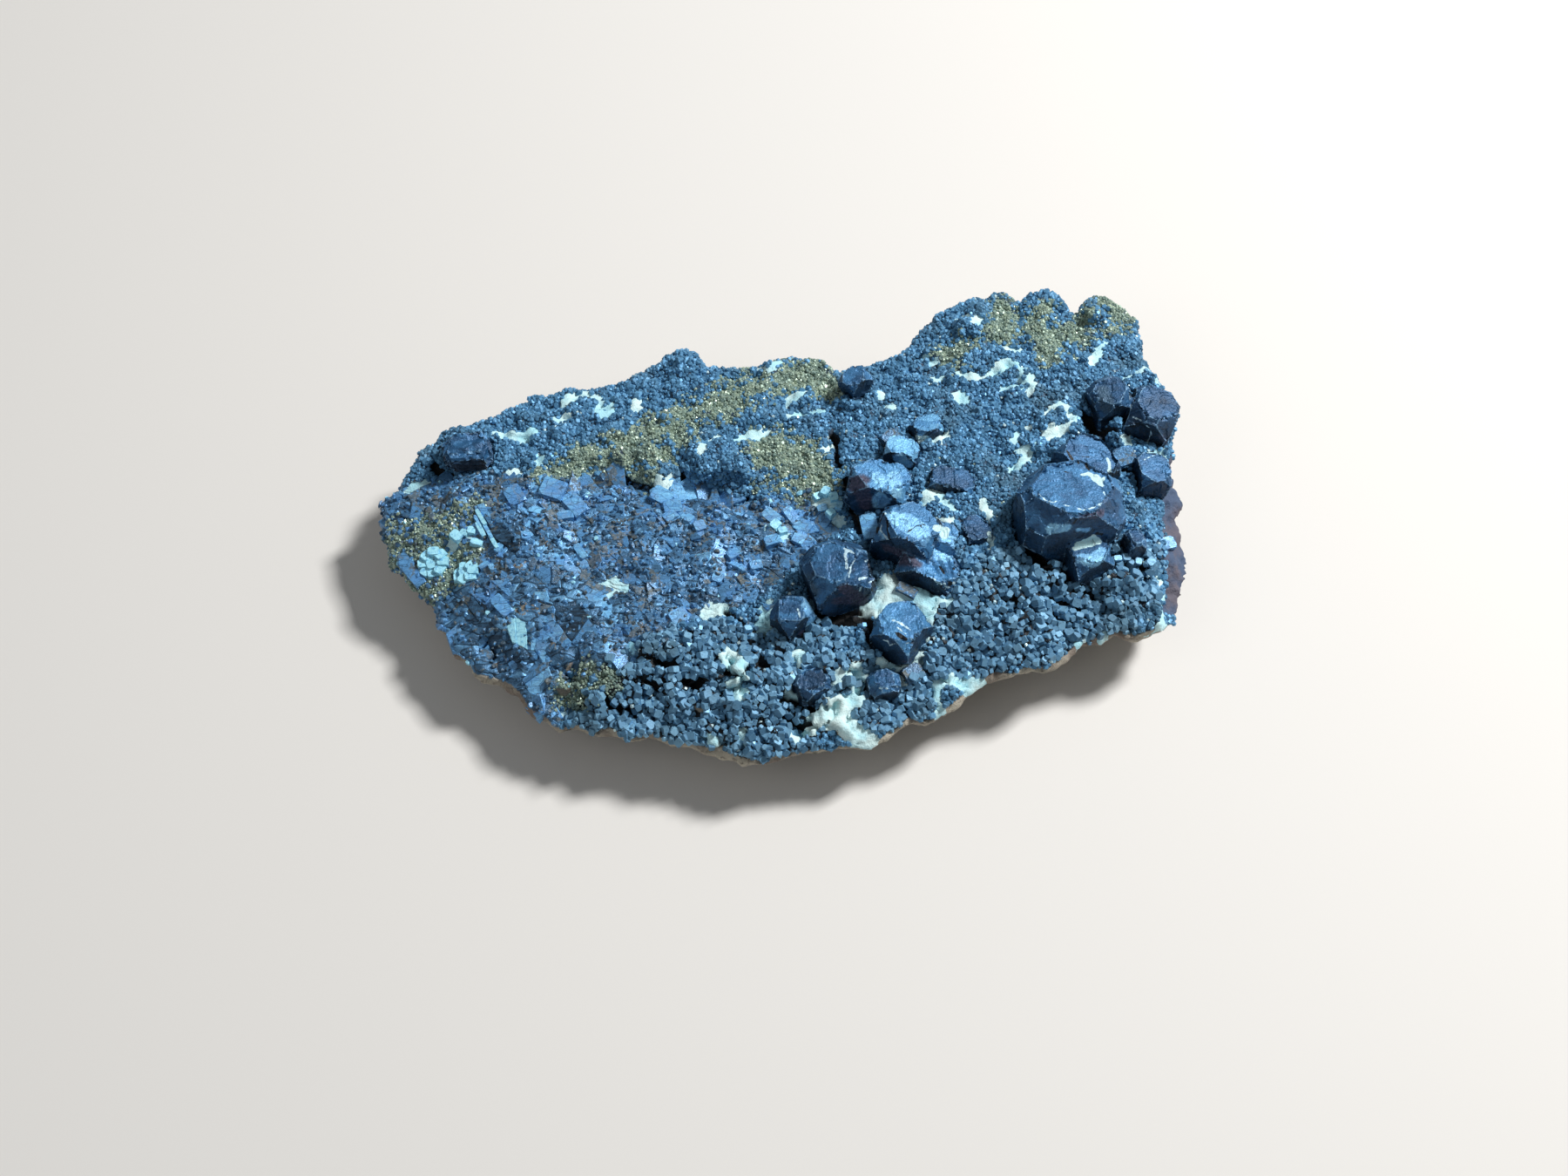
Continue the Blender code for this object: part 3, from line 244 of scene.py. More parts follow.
# Marks on the standing crystals: strokes of points (x, y, z, half width)
CRYSTAL_MARKS = {
    "white": [
        [(18.4, 1.8, 14.0, 0.08), (19.6, 2.3, 14.1, 0.08)],
        [(20.7, 1.9, 14.0, 0.08), (21.9, 0.6, 13.4, 0.07)],
        [(7.7, -9.7, 17.2, 0.14), (7.8, -11.8, 17.3, 0.19), (8.1, -13.5, 17.1, 0.14)],
        [(8.9, -11.2, 17.4, 0.14), (8.4, -12.4, 17.3, 0.16), (8.1, -13.4, 17.0, 0.12)],
        [(7.6, -9.6, 17.2, 0.12), (8.7, -10.4, 17.4, 0.16)],
        [(9.7, -5.7, 12.2, 0.08), (10.5, -6.6, 11.6, 0.09), (10.4, -10.8, 16.2, 0.08)],
        [(10.5, -6.4, 12.1, 0.07), (9.7, -12.0, 16.2, 0.09)],
        [(9.4, -13.1, 16.0, 0.23), (10.4, -12.5, 15.3, 0.16)],
        [(9.7, -13.9, 15.2, 0.19), (9.5, -14.0, 14.4, 0.12)],
        [(10.7, -12.9, 14.8, 0.09), (11.4, -12.3, 14.4, 0.09), (12.1, -11.2, 12.3, 0.08)],
        [(12.6, -4.7, 17.3, 0.12), (11.9, -6.5, 16.1, 0.14), (12.8, -7.9, 16.3, 0.1)],
        [(20.1, -11.0, 14.2, 0.12), (20.7, -12.4, 13.5, 0.14)],
        [(17.9, -12.1, 14.6, 0.1), (19.2, -12.8, 14.0, 0.12)],
        [(18.4, -11.4, 14.5, 0.08), (19.6, -12.7, 13.9, 0.08)],
        [(18.6, -12.6, 13.8, 0.1), (20.0, -12.8, 13.4, 0.08), (21.3, -12.3, 12.7, 0.07)],
        [(18.7, -12.8, 12.4, 0.07), (20.1, -13.2, 12.8, 0.07)],
        [(2.1, -16.3, 14.5, 0.09), (2.4, -17.6, 14.5, 0.11), (3.1, -17.4, 12.0, 0.08)],
        [(13.2, -17.9, 14.6, 0.13), (14.3, -18.4, 14.7, 0.13), (15.2, -19.2, 14.8, 0.15)],
        [(13.7, -18.9, 14.7, 0.09), (14.6, -19.8, 14.8, 0.13), (15.4, -20.6, 14.7, 0.11)],
        [(11.9, -20.0, 13.5, 0.06), (12.5, -20.3, 13.8, 0.06), (12.8, -20.6, 13.2, 0.06),
         (13.5, -20.9, 14.4, 0.06), (14.5, -21.2, 14.3, 0.06), (14.7, -20.9, 14.5, 0.06),
         (15.4, -20.9, 14.3, 0.05)],
        [(17.4, -20.5, 11.4, 0.08), (17.8, -19.8, 11.1, 0.11)],
        [(11.6, -25.3, 11.7, 0.11), (12.6, -25.4, 11.7, 0.15)],
        [(13.7, -25.0, 11.6, 0.08), (14.2, -25.2, 9.7, 0.09), (14.0, -26.0, 8.8, 0.08)],
        [(30.6, -3.4, 19.4, 0.09), (31.4, -4.3, 19.5, 0.1), (32.2, -4.7, 19.5, 0.14),
         (32.8, -4.4, 19.4, 0.08)],
        [(32.9, -4.9, 19.5, 0.05), (34.9, -5.4, 19.4, 0.08), (35.8, -5.7, 19.4, 0.16),
         (36.7, -5.4, 19.3, 0.11), (38.1, -4.5, 19.1, 0.08)],
        [(38.5, -2.7, 18.8, 0.1), (38.6, -3.2, 18.9, 0.09)],
        [(43.6, 11.0, 14.3, 0.1), (44.5, 10.2, 14.7, 0.11), (45.7, 9.5, 14.1, 0.11),
         (45.9, 9.3, 12.9, 0.09), (45.7, 9.2, 11.5, 0.12)],
        [(45.8, 8.0, 11.7, 0.1), (45.5, 7.8, 11.9, 0.08)],
        [(44.6, 5.0, 13.9, 0.06), (46.0, 6.0, 13.6, 0.08), (48.0, 8.9, 10.1, 0.1)],
        [(43.3, 14.1, 15.6, 0.07), (43.4, 12.0, 14.7, 0.06)],
    ],
    # Bright marks: painted reflections on the faces that catch the lamp
    "bright": [
        [(18.8, -7.7, 13.9, 1.11), (20.6, -7.3, 14.9, 0.95)],
        [(19.1, -8.9, 14.2, 0.79), (20.5, -8.1, 13.2, 0.79)],
        [(11.9, 1.0, 16.3, 0.95), (11.9, -1.4, 13.7, 0.95)],
        [(13.8, 1.1, 16.1, 0.95), (14.0, -1.0, 15.7, 0.79)],
        [(13.5, -5.4, 17.2, 0.87), (15.0, -6.0, 17.1, 1.43), (16.4, -7.0, 17.0, 1.43),
         (17.1, -7.9, 17.0, 0.95), (17.0, -8.6, 16.5, 0.55)],
        [(11.8, -6.7, 15.9, 0.29), (12.3, -7.4, 16.1, 0.32)],
        [(11.6, -1.3, 13.6, 0.44), (12.8, -1.5, 14.4, 0.54), (13.3, -1.5, 15.0, 0.32)],
        [(12.2, 0.8, 16.3, 0.79), (12.2, -1.3, 15.2, 0.79)],
        [(13.9, 1.0, 16.1, 0.63), (14.0, -0.7, 16.0, 0.6)],
        [(19.1, -7.7, 13.8, 0.95), (20.4, -7.8, 14.7, 0.95)],
        [(19.5, -9.2, 14.2, 0.57), (20.3, -9.1, 14.0, 0.32)],
        [(3.1, -16.0, 14.3, 0.72), (3.8, -16.8, 12.5, 0.87)],
        [(35.4, -7.0, 16.8, 0.42), (36.6, -6.8, 16.6, 0.39)],
        [(35.9, -9.4, 14.8, 0.91), (37.2, -9.8, 14.9, 1.21), (38.5, -8.3, 14.6, 0.76)],
        [(32.1, -7.3, 17.7, 0.76), (33.8, -7.3, 17.7, 0.76)],
        [(14.6, 5.1, 13.9, 0.95), (15.5, 4.8, 13.3, 0.79)],
        [(10.5, -3.8, 12.9, 0.71), (11.0, -5.0, 12.2, 0.63)],
    ],
    "dark": [
        [(13.0, -2.6, 15.1, 0.16), (12.6, -5.6, 17.2, 0.17), (12.8, -7.2, 16.7, 0.17),
         (13.1, -8.0, 16.5, 0.16)],
        [(11.5, -6.6, 15.7, 0.19), (11.7, -5.8, 16.2, 0.16), (12.5, -4.7, 17.3, 0.14)],
        [(13.6, 1.5, 16.1, 0.06), (13.1, 0.3, 16.2, 0.08), (12.9, -1.3, 16.4, 0.1),
         (13.6, -1.5, 15.4, 0.11), (14.3, -3.0, 16.3, 0.1)],
        [(13.4, -1.4, 15.8, 0.14), (14.0, -1.6, 15.0, 0.13)],
        [(19.1, -10.4, 14.3, 0.25), (20.2, -12.5, 13.7, 0.25)],
        [(20.7, -10.5, 14.0, 0.19), (21.3, -10.2, 9.8, 0.16)],
        [(13.1, -4.7, 17.2, 0.05), (14.1, -6.3, 17.2, 0.06), (15.0, -7.5, 17.2, 0.06),
         (16.6, -6.1, 16.9, 0.08), (17.3, -7.3, 16.9, 0.08)],
        [(15.0, -7.5, 17.2, 0.05), (15.0, -8.6, 17.2, 0.06)],
        [(16.3, -5.6, 16.9, 0.1), (17.3, -6.2, 16.8, 0.1)],
        [(17.0, -7.7, 17.0, 0.08), (17.4, -8.5, 16.3, 0.08)],
        [(13.4, -19.6, 14.8, 0.23), (14.2, -20.3, 14.9, 0.38), (14.7, -20.6, 14.9, 0.23)],
        [(34.9, 4.9, 16.3, 0.15), (35.5, 3.8, 16.4, 0.17), (35.9, 1.9, 18.2, 0.14)],
        [(35.3, 4.4, 16.3, 0.06), (37.1, 4.3, 16.1, 0.06), (38.8, 4.3, 15.9, 0.06)],
        [(36.7, 1.7, 18.2, 0.14), (37.1, 0.9, 18.3, 0.14)],
        [(33.7, 0.6, 18.6, 0.09), (35.0, 0.1, 18.6, 0.09)],
        [(34.0, 5.5, 15.5, 0.08), (33.1, 1.0, 18.5, 0.08)],
        [(34.7, -7.0, 18.3, 0.21), (35.1, -6.8, 19.1, 0.15)],
        [(30.9, -0.7, 18.9, 0.08), (31.6, 1.3, 18.1, 0.09)],
        [(29.6, -2.5, 19.1, 0.08), (31.1, -0.9, 18.9, 0.08)],
        [(43.5, 4.7, 12.3, 0.12), (43.9, 1.6, 12.1, 0.12), (47.0, 1.6, 10.2, 0.11)],
        [(37.8, -6.7, 15.6, 0.24), (38.5, -6.6, 15.2, 0.24)],
        [(8.0, -11.1, 17.3, 0.08), (8.4, -11.8, 17.4, 0.08), (8.0, -13.2, 17.3, 0.08)],
        [(10.9, -13.4, 14.1, 0.16), (11.5, -12.6, 11.4, 0.22)],
    ],
    "brown": [
        [(8.7, 0.3, 15.6, 0.95), (10.3, 0.5, 16.6, 0.79)],
        [(9.7, -0.7, 15.8, 1.27), (10.4, -1.1, 13.3, 0.95)],
        [(12.7, -8.1, 14.6, 0.79), (14.6, -9.4, 14.4, 0.95), (16.4, -10.3, 14.8, 0.63)],
        [(7.5, -14.5, 16.4, 0.79), (9.6, -14.1, 12.3, 0.95), (6.8, -15.0, 14.1, 0.79)],
        [(9.1, -0.1, 15.7, 0.95), (10.4, -0.9, 14.7, 0.79), (10.1, -1.1, 12.7, 0.63)],
        [(18.7, -13.9, 12.3, 0.32), (20.7, -13.1, 12.4, 0.32)],
        [(35.5, -6.7, 19.0, 0.39), (36.6, -6.3, 19.1, 0.55), (38.2, -5.5, 18.4, 0.52)],
        [(2.6, -17.9, 11.5, 0.58), (3.3, -18.5, 11.6, 0.52)],
        [(13.1, -21.8, 10.6, 0.2), (14.8, -22.1, 12.1, 0.32), (16.8, -21.0, 11.4, 0.29)],
        [(47.2, 8.9, 13.0, 0.45), (48.0, 8.8, 11.8, 0.45)],
        [(22.2, -7.5, 13.1, 0.22), (24.1, -7.6, 12.5, 0.22)],
    ],
    "olive": [
        [(3.2, -13.0, 15.8, 0.79), (3.8, -14.3, 15.1, 0.95)],
        [(19.4, -7.6, 14.9, 0.25), (19.7, -7.7, 14.9, 0.29)],
        [(40.0, 13.9, 15.8, 0.91), (40.2, 12.0, 15.4, 1.06), (40.9, 11.4, 14.2, 0.61)],
        [(11.0, -25.8, 10.8, 0.29), (12.4, -25.9, 9.2, 0.72)],
    ],
    "cream": [
        [(16.9, 8.4, 13.2, 0.63), (18.3, 8.0, 13.3, 0.79), (19.4, 7.3, 13.2, 0.48)],
        [(25.1, -5.3, 13.5, 0.25), (25.3, -6.4, 12.4, 0.32)],
        [(36.0, 0.0, 18.5, 0.15), (37.0, 0.3, 18.4, 0.36), (37.9, -0.4, 18.5, 0.52),
         (38.3, -1.4, 18.6, 0.36)],
        [(38.6, -0.6, 18.5, 0.24), (39.9, 2.0, 15.9, 0.21), (40.1, 3.3, 15.8, 0.24),
         (39.9, 4.1, 15.8, 0.24)],
        [(35.2, -7.9, 14.5, 0.36), (36.6, -7.1, 14.4, 0.52), (37.4, -6.9, 14.9, 0.61),
         (38.3, -6.9, 14.3, 0.24)],
        [(18.7, -6.5, 16.7, 0.57), (19.9, -5.7, 14.9, 0.57), (19.7, -6.5, 15.0, 0.48)],
        [(42.6, 9.4, 12.4, 0.3), (43.2, 9.4, 12.0, 0.36)],
    ],
}
# How light the upper faces of each standing crystal are painted, from 0 to 1: painted light from above
UPPER_FACE_PAINTED_LIGHT = {
    "largest_galena_group": 0.5,
    "galena_by_the_largest": 0.34,
    "upper_right_galena_pair": 0.36,
    "right_rim_galena": 0.45,
    "galena_behind_the_middle": 0.72,
    "middle_galena_group": 0.58,
    "bladed_galena": 0.44,
    "small_front_galena": 0.52,
    "galena_on_pale_rock": 0.6,
    "round_front_galena": 0.48,
    "front_rim_galena": 0.38,
    "part_buried_galena": 0.5,
    "smooth_galena_slab": 0.38,
    "bright_faced_galena": 1.05,
    "pale_faced_galena": 0.8,
    "back_galena": 0.5,
    "left_rim_galena": 0.45,
}
# Where blades stand out of a crystal: centre, reach, direction across them, pitch and depth
BLADES = {
    "bladed_galena": ((9.8, -11.0, 14.0), 3.0, (0.93, -0.25, 0.27), 0.8, 0.38),
    "middle_galena_group": ((19.2, -10.4, 13.0), 2.3, (0.9, 0.35, 0.25), 0.8, 0.3),
    "left_rim_galena": ((-38.4, 7.3, 11.5), 7.0, (0.15, -0.25, 0.95), 0.75, 0.45),
}
# The flat terrace on the largest crystal: centre, half length, half width, turn and height
TERRACE = ((34.9, -3.6), 4.3, 2.5, 6.0, 0.3)

# Single crystals and cleavage blocks: place, length, width, height, turn, two tilts, tone, rise
# Tones above 0.9 are painted icy bright by the cleavage finish: painted reflections
SINGLE_CRYSTALS = [
    (4.6, 1.2, 1.1, 0.9, 1.1, 30, 5, 8, 0.97, 0.15), (5.6, 1.6, 1.2, 1, 1.1, 60, -6, 3, 0.95, 0.15),
    (6.6, 0.7, 1, 1.1, 1.1, 10, 8, -4, 0.99, 0.15), (7.2, -0.5, 1.1, 0.8, 1.1, 75, 3, 9, 0.93, 0.15),
    (6.2, -1.3, 1, 1, 1.1, 40, -7, 5, 0.98, 0.15), (5.2, -0.4, 1.2, 0.9, 1.1, 15, 6, -8, 0.92, 0.15),
    (-0.6, -2.7, 1.3, 1.1, 1.1, 50, 5, 5, 0.96, 0.15), (0.3, -3.7, 1.1, 0.9, 1.1, 20, -5, 8, 0.94, 0.15),
    (-1.0, -1.3, 2.4, 1.5, 1, -40, 6, 4, 0.82, 0.1), (1.4, -1.3, 2.6, 1.3, 1, -55, -4, 6, 0.78, 0.1),
    (2.8, -2.7, 2.2, 1.7, 1, -35, 5, -5, 0.84, 0.1), (-0.9, -5.0, 2, 1.4, 1, 20, -6, 3, 0.76, 0.1),
    (2.3, -4.5, 1.8, 1.5, 1, 65, 4, 7, 0.8, 0.1), (-27.8, 2.1, 3, 2.5, 1.1, -20, 3, 2, 0.76, 0.1),
    (-25.1, 0.2, 3.3, 2, 1.1, -50, 2, 5, 0.8, 0.1), (-26.2, -1.5, 2, 1.2, 1, 15, -5, 4, 0.72, 0.1),
    (-32.5, 1.3, 2.6, 2.1, 1, -60, 4, 3, 0.66, 0.05), (-14.5, 1.7, 2.6, 2, 1.1, -30, 4, 3, 0.82, 0.1),
    (-12.5, 2.2, 2.4, 1.6, 1.1, -65, -3, 5, 0.86, 0.1), (-13.1, 0.1, 2.2, 1.8, 1.1, 10, 5, -4, 0.78, 0.1),
    (-13.4, -1.4, 1.7, 1.4, 1, 40, -5, 4, 0.8, 0.1), (-9.8, -2.8, 1.4, 1.3, 1.1, 25, 6, 5, 0.9, 0.1),
    (-11.1, -1.8, 1.2, 1, 1, 60, -4, 7, 0.8, 0.1), (-12.0, -15.4, 2.2, 2, 1.1, 30, 4, 5, 0.86, 0.1),
    (-33.3, -13.4, 3, 1.5, 1, -50, 5, 4, 0.72, 0.1), (-24.1, -6.3, 2.2, 0.9, 1, -55, 8, 3, 0.84, 0.1),
    (-5.6, -6.9, 1.6, 1.2, 1, 35, -4, 5, 0.8, 0.1), (-7.5, -10.0, 1.4, 1.3, 1, 70, 5, 3, 0.76, 0.1),
    (-2.9, -8.4, 1.5, 1.1, 1, 15, 6, 4, 0.82, 0.1), (42.4, 6.2, 2.7, 2.4, 2.4, 20, 8, -6, 0.45, 0),
    (15.6, -22.7, 2.4, 2.1, 1.9, 30, 6, 5, 0.2, -0.2), (15.1, -12.7, 2.5, 1.3, 0.7, -28, 2, 4, 0.35, 0),
    (10.9, -3.9, 2, 3.2, 1.8, 10, 10, -8, 0.8, 0), (13.7, 8.9, 2.2, 2.2, 2.8, 45, 10, 0, 0.2, 0),
    (47.2, -4.3, 1.9, 1.6, 1.4, 25, 8, 14, 0.72, 0), (-36.4, -1.6, 2.6, 0.5, 1.1, -61, 9, -6, 1, 0.12),
    (-35.7, -3.2, 3.2, 0.45, 1.1, -61, -1, -2, 0.9, 0.12),
    (-36.4, -3.2, 2.2, 0.6, 1.1, -61, 4, 1, 0.95, 0.12),
    (-36.9, -2.1, 1.8, 0.4, 1.1, -61, -6, 0, 0.8, 0.12),
    (-34.7, -5.0, 2.2, 0.5, 1.1, -61, 2, -3, 0.95, 0.12),
    (-35.4, -2.3, 2.4, 0.4, 1.1, -61, 0, -8, 0.3, 0.12),
    (-36.9, -4.8, 1.5, 0.9, 1.1, -14, -9, 6, 0.95, 0.12),
    (-39.4, -3.8, 1.5, 1.2, 1.1, -39, 1, 3, 0.95, 0.12),
    (-38.4, -3.4, 1, 0.8, 1.1, -23, 8, -5, 0.95, 0.12), (-37.6, -3.2, 1, 1, 1.1, -4, -4, 5, 1, 0.12),
    (-34.0, -5.8, 1.2, 0.8, 1.1, 57, -4, -5, 0.9, 0.12),
    (-34.8, -8.3, 1.1, 0.7, 1.1, -53, -9, -7, 0.8, 0.12),
    (-35.7, -7.9, 1.3, 0.7, 1.1, 34, -5, -4, 0.75, 0.12),
    (-33.8, -4.1, 3, 1.6, 1.1, -38, 9, -7, 0.05, 0.12),
    (-44.8, -7.6, 4.2, 1.5, 1.1, -50, 7, 7, 0.55, 0.12),
    (-45.6, -6.2, 2.6, 1.2, 1.1, -50, -3, 2, 0.45, 0.12),
]
# Rosettes of crystals on the left end, painted icy bright as painted reflections: place, radius and
# number of petals
ROSETTES = [(-42.2, -6.7, 1.25, 8), (-38.0, -8.4, 0.95, 7)]

# Deep gaps in the crust, sunk into the rock and painted near black as painted shade and shadow
DEEP_GAPS = [
    [(-43.1, 6.6, 0.6), (-41.8, 5.6, 0.6), (-40.7, 5.5, 0.6)],
    [(29.9, -7.2, 0.85), (31.0, -8.8, 0.85), (32.9, -9.8, 0.85), (35.0, -10.2, 0.85)],
    [(4.5, -15.1, 0.8), (6.3, -15.9, 0.8), (8.4, -16.3, 0.8), (10.1, -16.1, 0.8)],
    [(-12.1, 4.6, 0.4), (-10.8, 3.3, 0.4), (-8.4, 2.5, 0.4), (-6.0, 1.7, 0.4), (-4.0, 1.8, 0.4)],
    [(-19.3, 4.9, 0.42), (-17.6, 3.8, 0.42), (-16.0, 3.1, 0.42)], [(-23.5, 4.4, 0.3), (-20.1, 4.0, 0.3)],
    [(-6.6, -14.5, 0.45), (-5.1, -15.5, 0.45), (-3.9, -16.7, 0.45)],
    [(-11.4, -17.6, 0.45), (-10.5, -18.2, 0.45)],
    [(-35.6, -17.1, 0.4), (-35.0, -17.9, 0.4), (-34.3, -18.8, 0.4)],
    [(14.8, -0.4, 0.35), (14.3, -2.9, 0.35), (14.5, -5.2, 0.35)],
    [(36.6, -11.8, 0.45), (38.0, -12.9, 0.45)], [(33.8, -9.3, 0.45), (35.4, -10.1, 0.45)],
    [(26.4, -13.6, 0.45), (28.1, -14.1, 0.45)], [(-15.9, -23.5, 0.45), (-14.4, -24.7, 0.45)],
    [(-6.7, -22.8, 0.45), (-5.5, -24.0, 0.45)], [(-2.6, -21.1, 0.45), (-1.2, -22.0, 0.45)],
    [(-17.5, -19.0, 0.47), (-17.0, -19.9, 0.52)],
    [(-11.5, -23.7, 0.52), (-9.8, -24.0, 0.77), (-8.1, -24.0, 0.57)],
    [(-16.0, -20.9, 0.47), (-14.6, -21.6, 0.57), (-11.7, -22.3, 0.52)],
    [(0.2, -25.8, 0.52), (2.1, -26.2, 0.52), (3.7, -26.8, 0.57)],
    [(0.4, -27.7, 0.52), (2.8, -28.4, 0.57)], [(-3.6, -19.0, 0.52), (0.4, -20.4, 0.52)],
    [(-11.1, -17.5, 0.52), (-10.7, -18.0, 0.52)], [(-14.1, -23.4, 0.47), (-13.5, -24.2, 0.52)],
    [(-3.6, -22.7, 0.47), (-3.5, -23.7, 0.47)],
    [(-20.7, -24.9, 0.37), (-19.5, -26.6, 0.42), (-16.9, -27.3, 0.42)],
    [(32.1, -13.0, 0.52), (33.9, -13.6, 0.62), (35.6, -14.1, 0.52)],
    [(31.8, -14.4, 0.47), (32.9, -15.3, 0.47)], [(34.2, -11.6, 0.42), (37.7, -12.5, 0.42)],
    [(41.2, -8.8, 0.57), (42.4, -9.4, 0.57), (43.9, -9.4, 0.52)],
    [(29.9, -14.4, 0.42), (30.8, -15.4, 0.47)], [(41.7, -17.7, 0.42), (42.5, -17.9, 0.42)],
    [(8.2, 3.5, 0.52), (9.0, 1.0, 0.82), (9.2, -1.2, 0.82), (9.7, -4.3, 0.62)],
    [(10.2, -0.9, 0.52), (11.1, -1.4, 0.57)],
    [(6.6, 10.5, 0.62), (7.0, 9.3, 0.47), (7.0, 7.4, 0.37), (7.3, 5.7, 0.37)],
    [(38.1, 12.4, 0.72), (39.3, 10.9, 0.82), (40.5, 10.6, 0.52), (41.9, 10.0, 0.47)],
    [(40.0, 9.6, 0.52), (40.2, 7.8, 0.72), (41.2, 6.8, 0.57)],
    [(41.2, 5.5, 0.47), (41.9, 4.5, 0.47), (43.1, 4.4, 0.42)],
    [(34.9, -7.9, 0.52), (31.5, -7.5, 0.92), (30.1, -6.2, 0.92), (28.7, -3.9, 0.72)],
    [(5.0, -14.5, 0.72), (7.2, -14.7, 0.82), (9.7, -14.9, 0.62)],
    [(10.5, -16.2, 0.47), (11.6, -18.7, 0.52), (12.7, -20.9, 0.52)],
    [(10.2, -17.5, 0.34), (10.8, -20.1, 0.37)],
]

# Broken field of galena in the left half
BROKEN_FIELD = [
    (-46.0, 5.0), (-42.6, 5.4), (-35.5, 5.6), (-30.0, 4.3), (-23.6, 4.7), (-19.2, 5.2),
    (-15.6, 2.7), (-11.2, 3.8), (-4.3, 1.4), (3.0, 2.6), (7.2, 0.2), (6.4, -4.6),
    (1.8, -9.0), (-1.6, -12.9), (-8.0, -15.4), (-14.1, -17.9), (-18.6, -20.0), (-21.3, -22.5),
    (-24.9, -25.0), (-25.4, -31.0), (-44.0, -24.0), (-56.0, -6.0), (-54.0, 5.0),
]

# Where the crust's crystals are coarse, with deep gaps between them that are painted near black as
# painted shade
COARSE_CRUST = [
    [(-20.0, -24.0, 5.0), (-8.0, -24.0, 6.5), (2.0, -21.0, 5.0), (5.0, -17.0, 3.0)],
    [(-12.0, -28.0, 3.5), (0.0, -29.0, 4.0), (5.0, -24.0, 3.0), (13.0, -25.0, 3.5), (18.0, -21.0, 3.0)],
    [(20.0, -20.0, 4.0), (28.0, -14.0, 6.0), (38.0, -13.0, 5.0), (43.0, -9.0, 3.0)],
]
# The reddish broken side at the plate's right end
BROKEN_SIDE = [[(47.3, -13.0, 1.4), (48.8, -7.0, 2.2), (48.8, 0.0, 2.0), (49.4, 7.0, 1.8)]]


def srgb(red, green, blue):
    """A colour given as the eye sees it, from 0 to 255, in the renderer's linear light."""
    shares = [channel / 255 for channel in (red, green, blue)]
    return (*[c / 12.92 if c <= 0.04045 else ((c + 0.055) / 1.055) ** 2.4 for c in shares], 1.0)


# Materials


class Value:
    """A socket of a finish: arithmetic on it adds the Math nodes that work it out."""

    def __init__(self, finish, socket):
        self.finish = finish
        self.socket = socket

    def maths(self, operation, first, second):
        return self.finish.node("ShaderNodeMath", {"operation": operation}, {0: first, 1: second})

    def __add__(self, other):
        return self.maths("ADD", self, other)

    def __radd__(self, other):
        return self.maths("ADD", other, self)

    def __sub__(self, other):
        return self.maths("SUBTRACT", self, other)

    def __rsub__(self, other):
        return self.maths("SUBTRACT", other, self)

    def __mul__(self, other):
        return self.maths("MULTIPLY", self, other)

    def __rmul__(self, other):
        return self.maths("MULTIPLY", other, self)


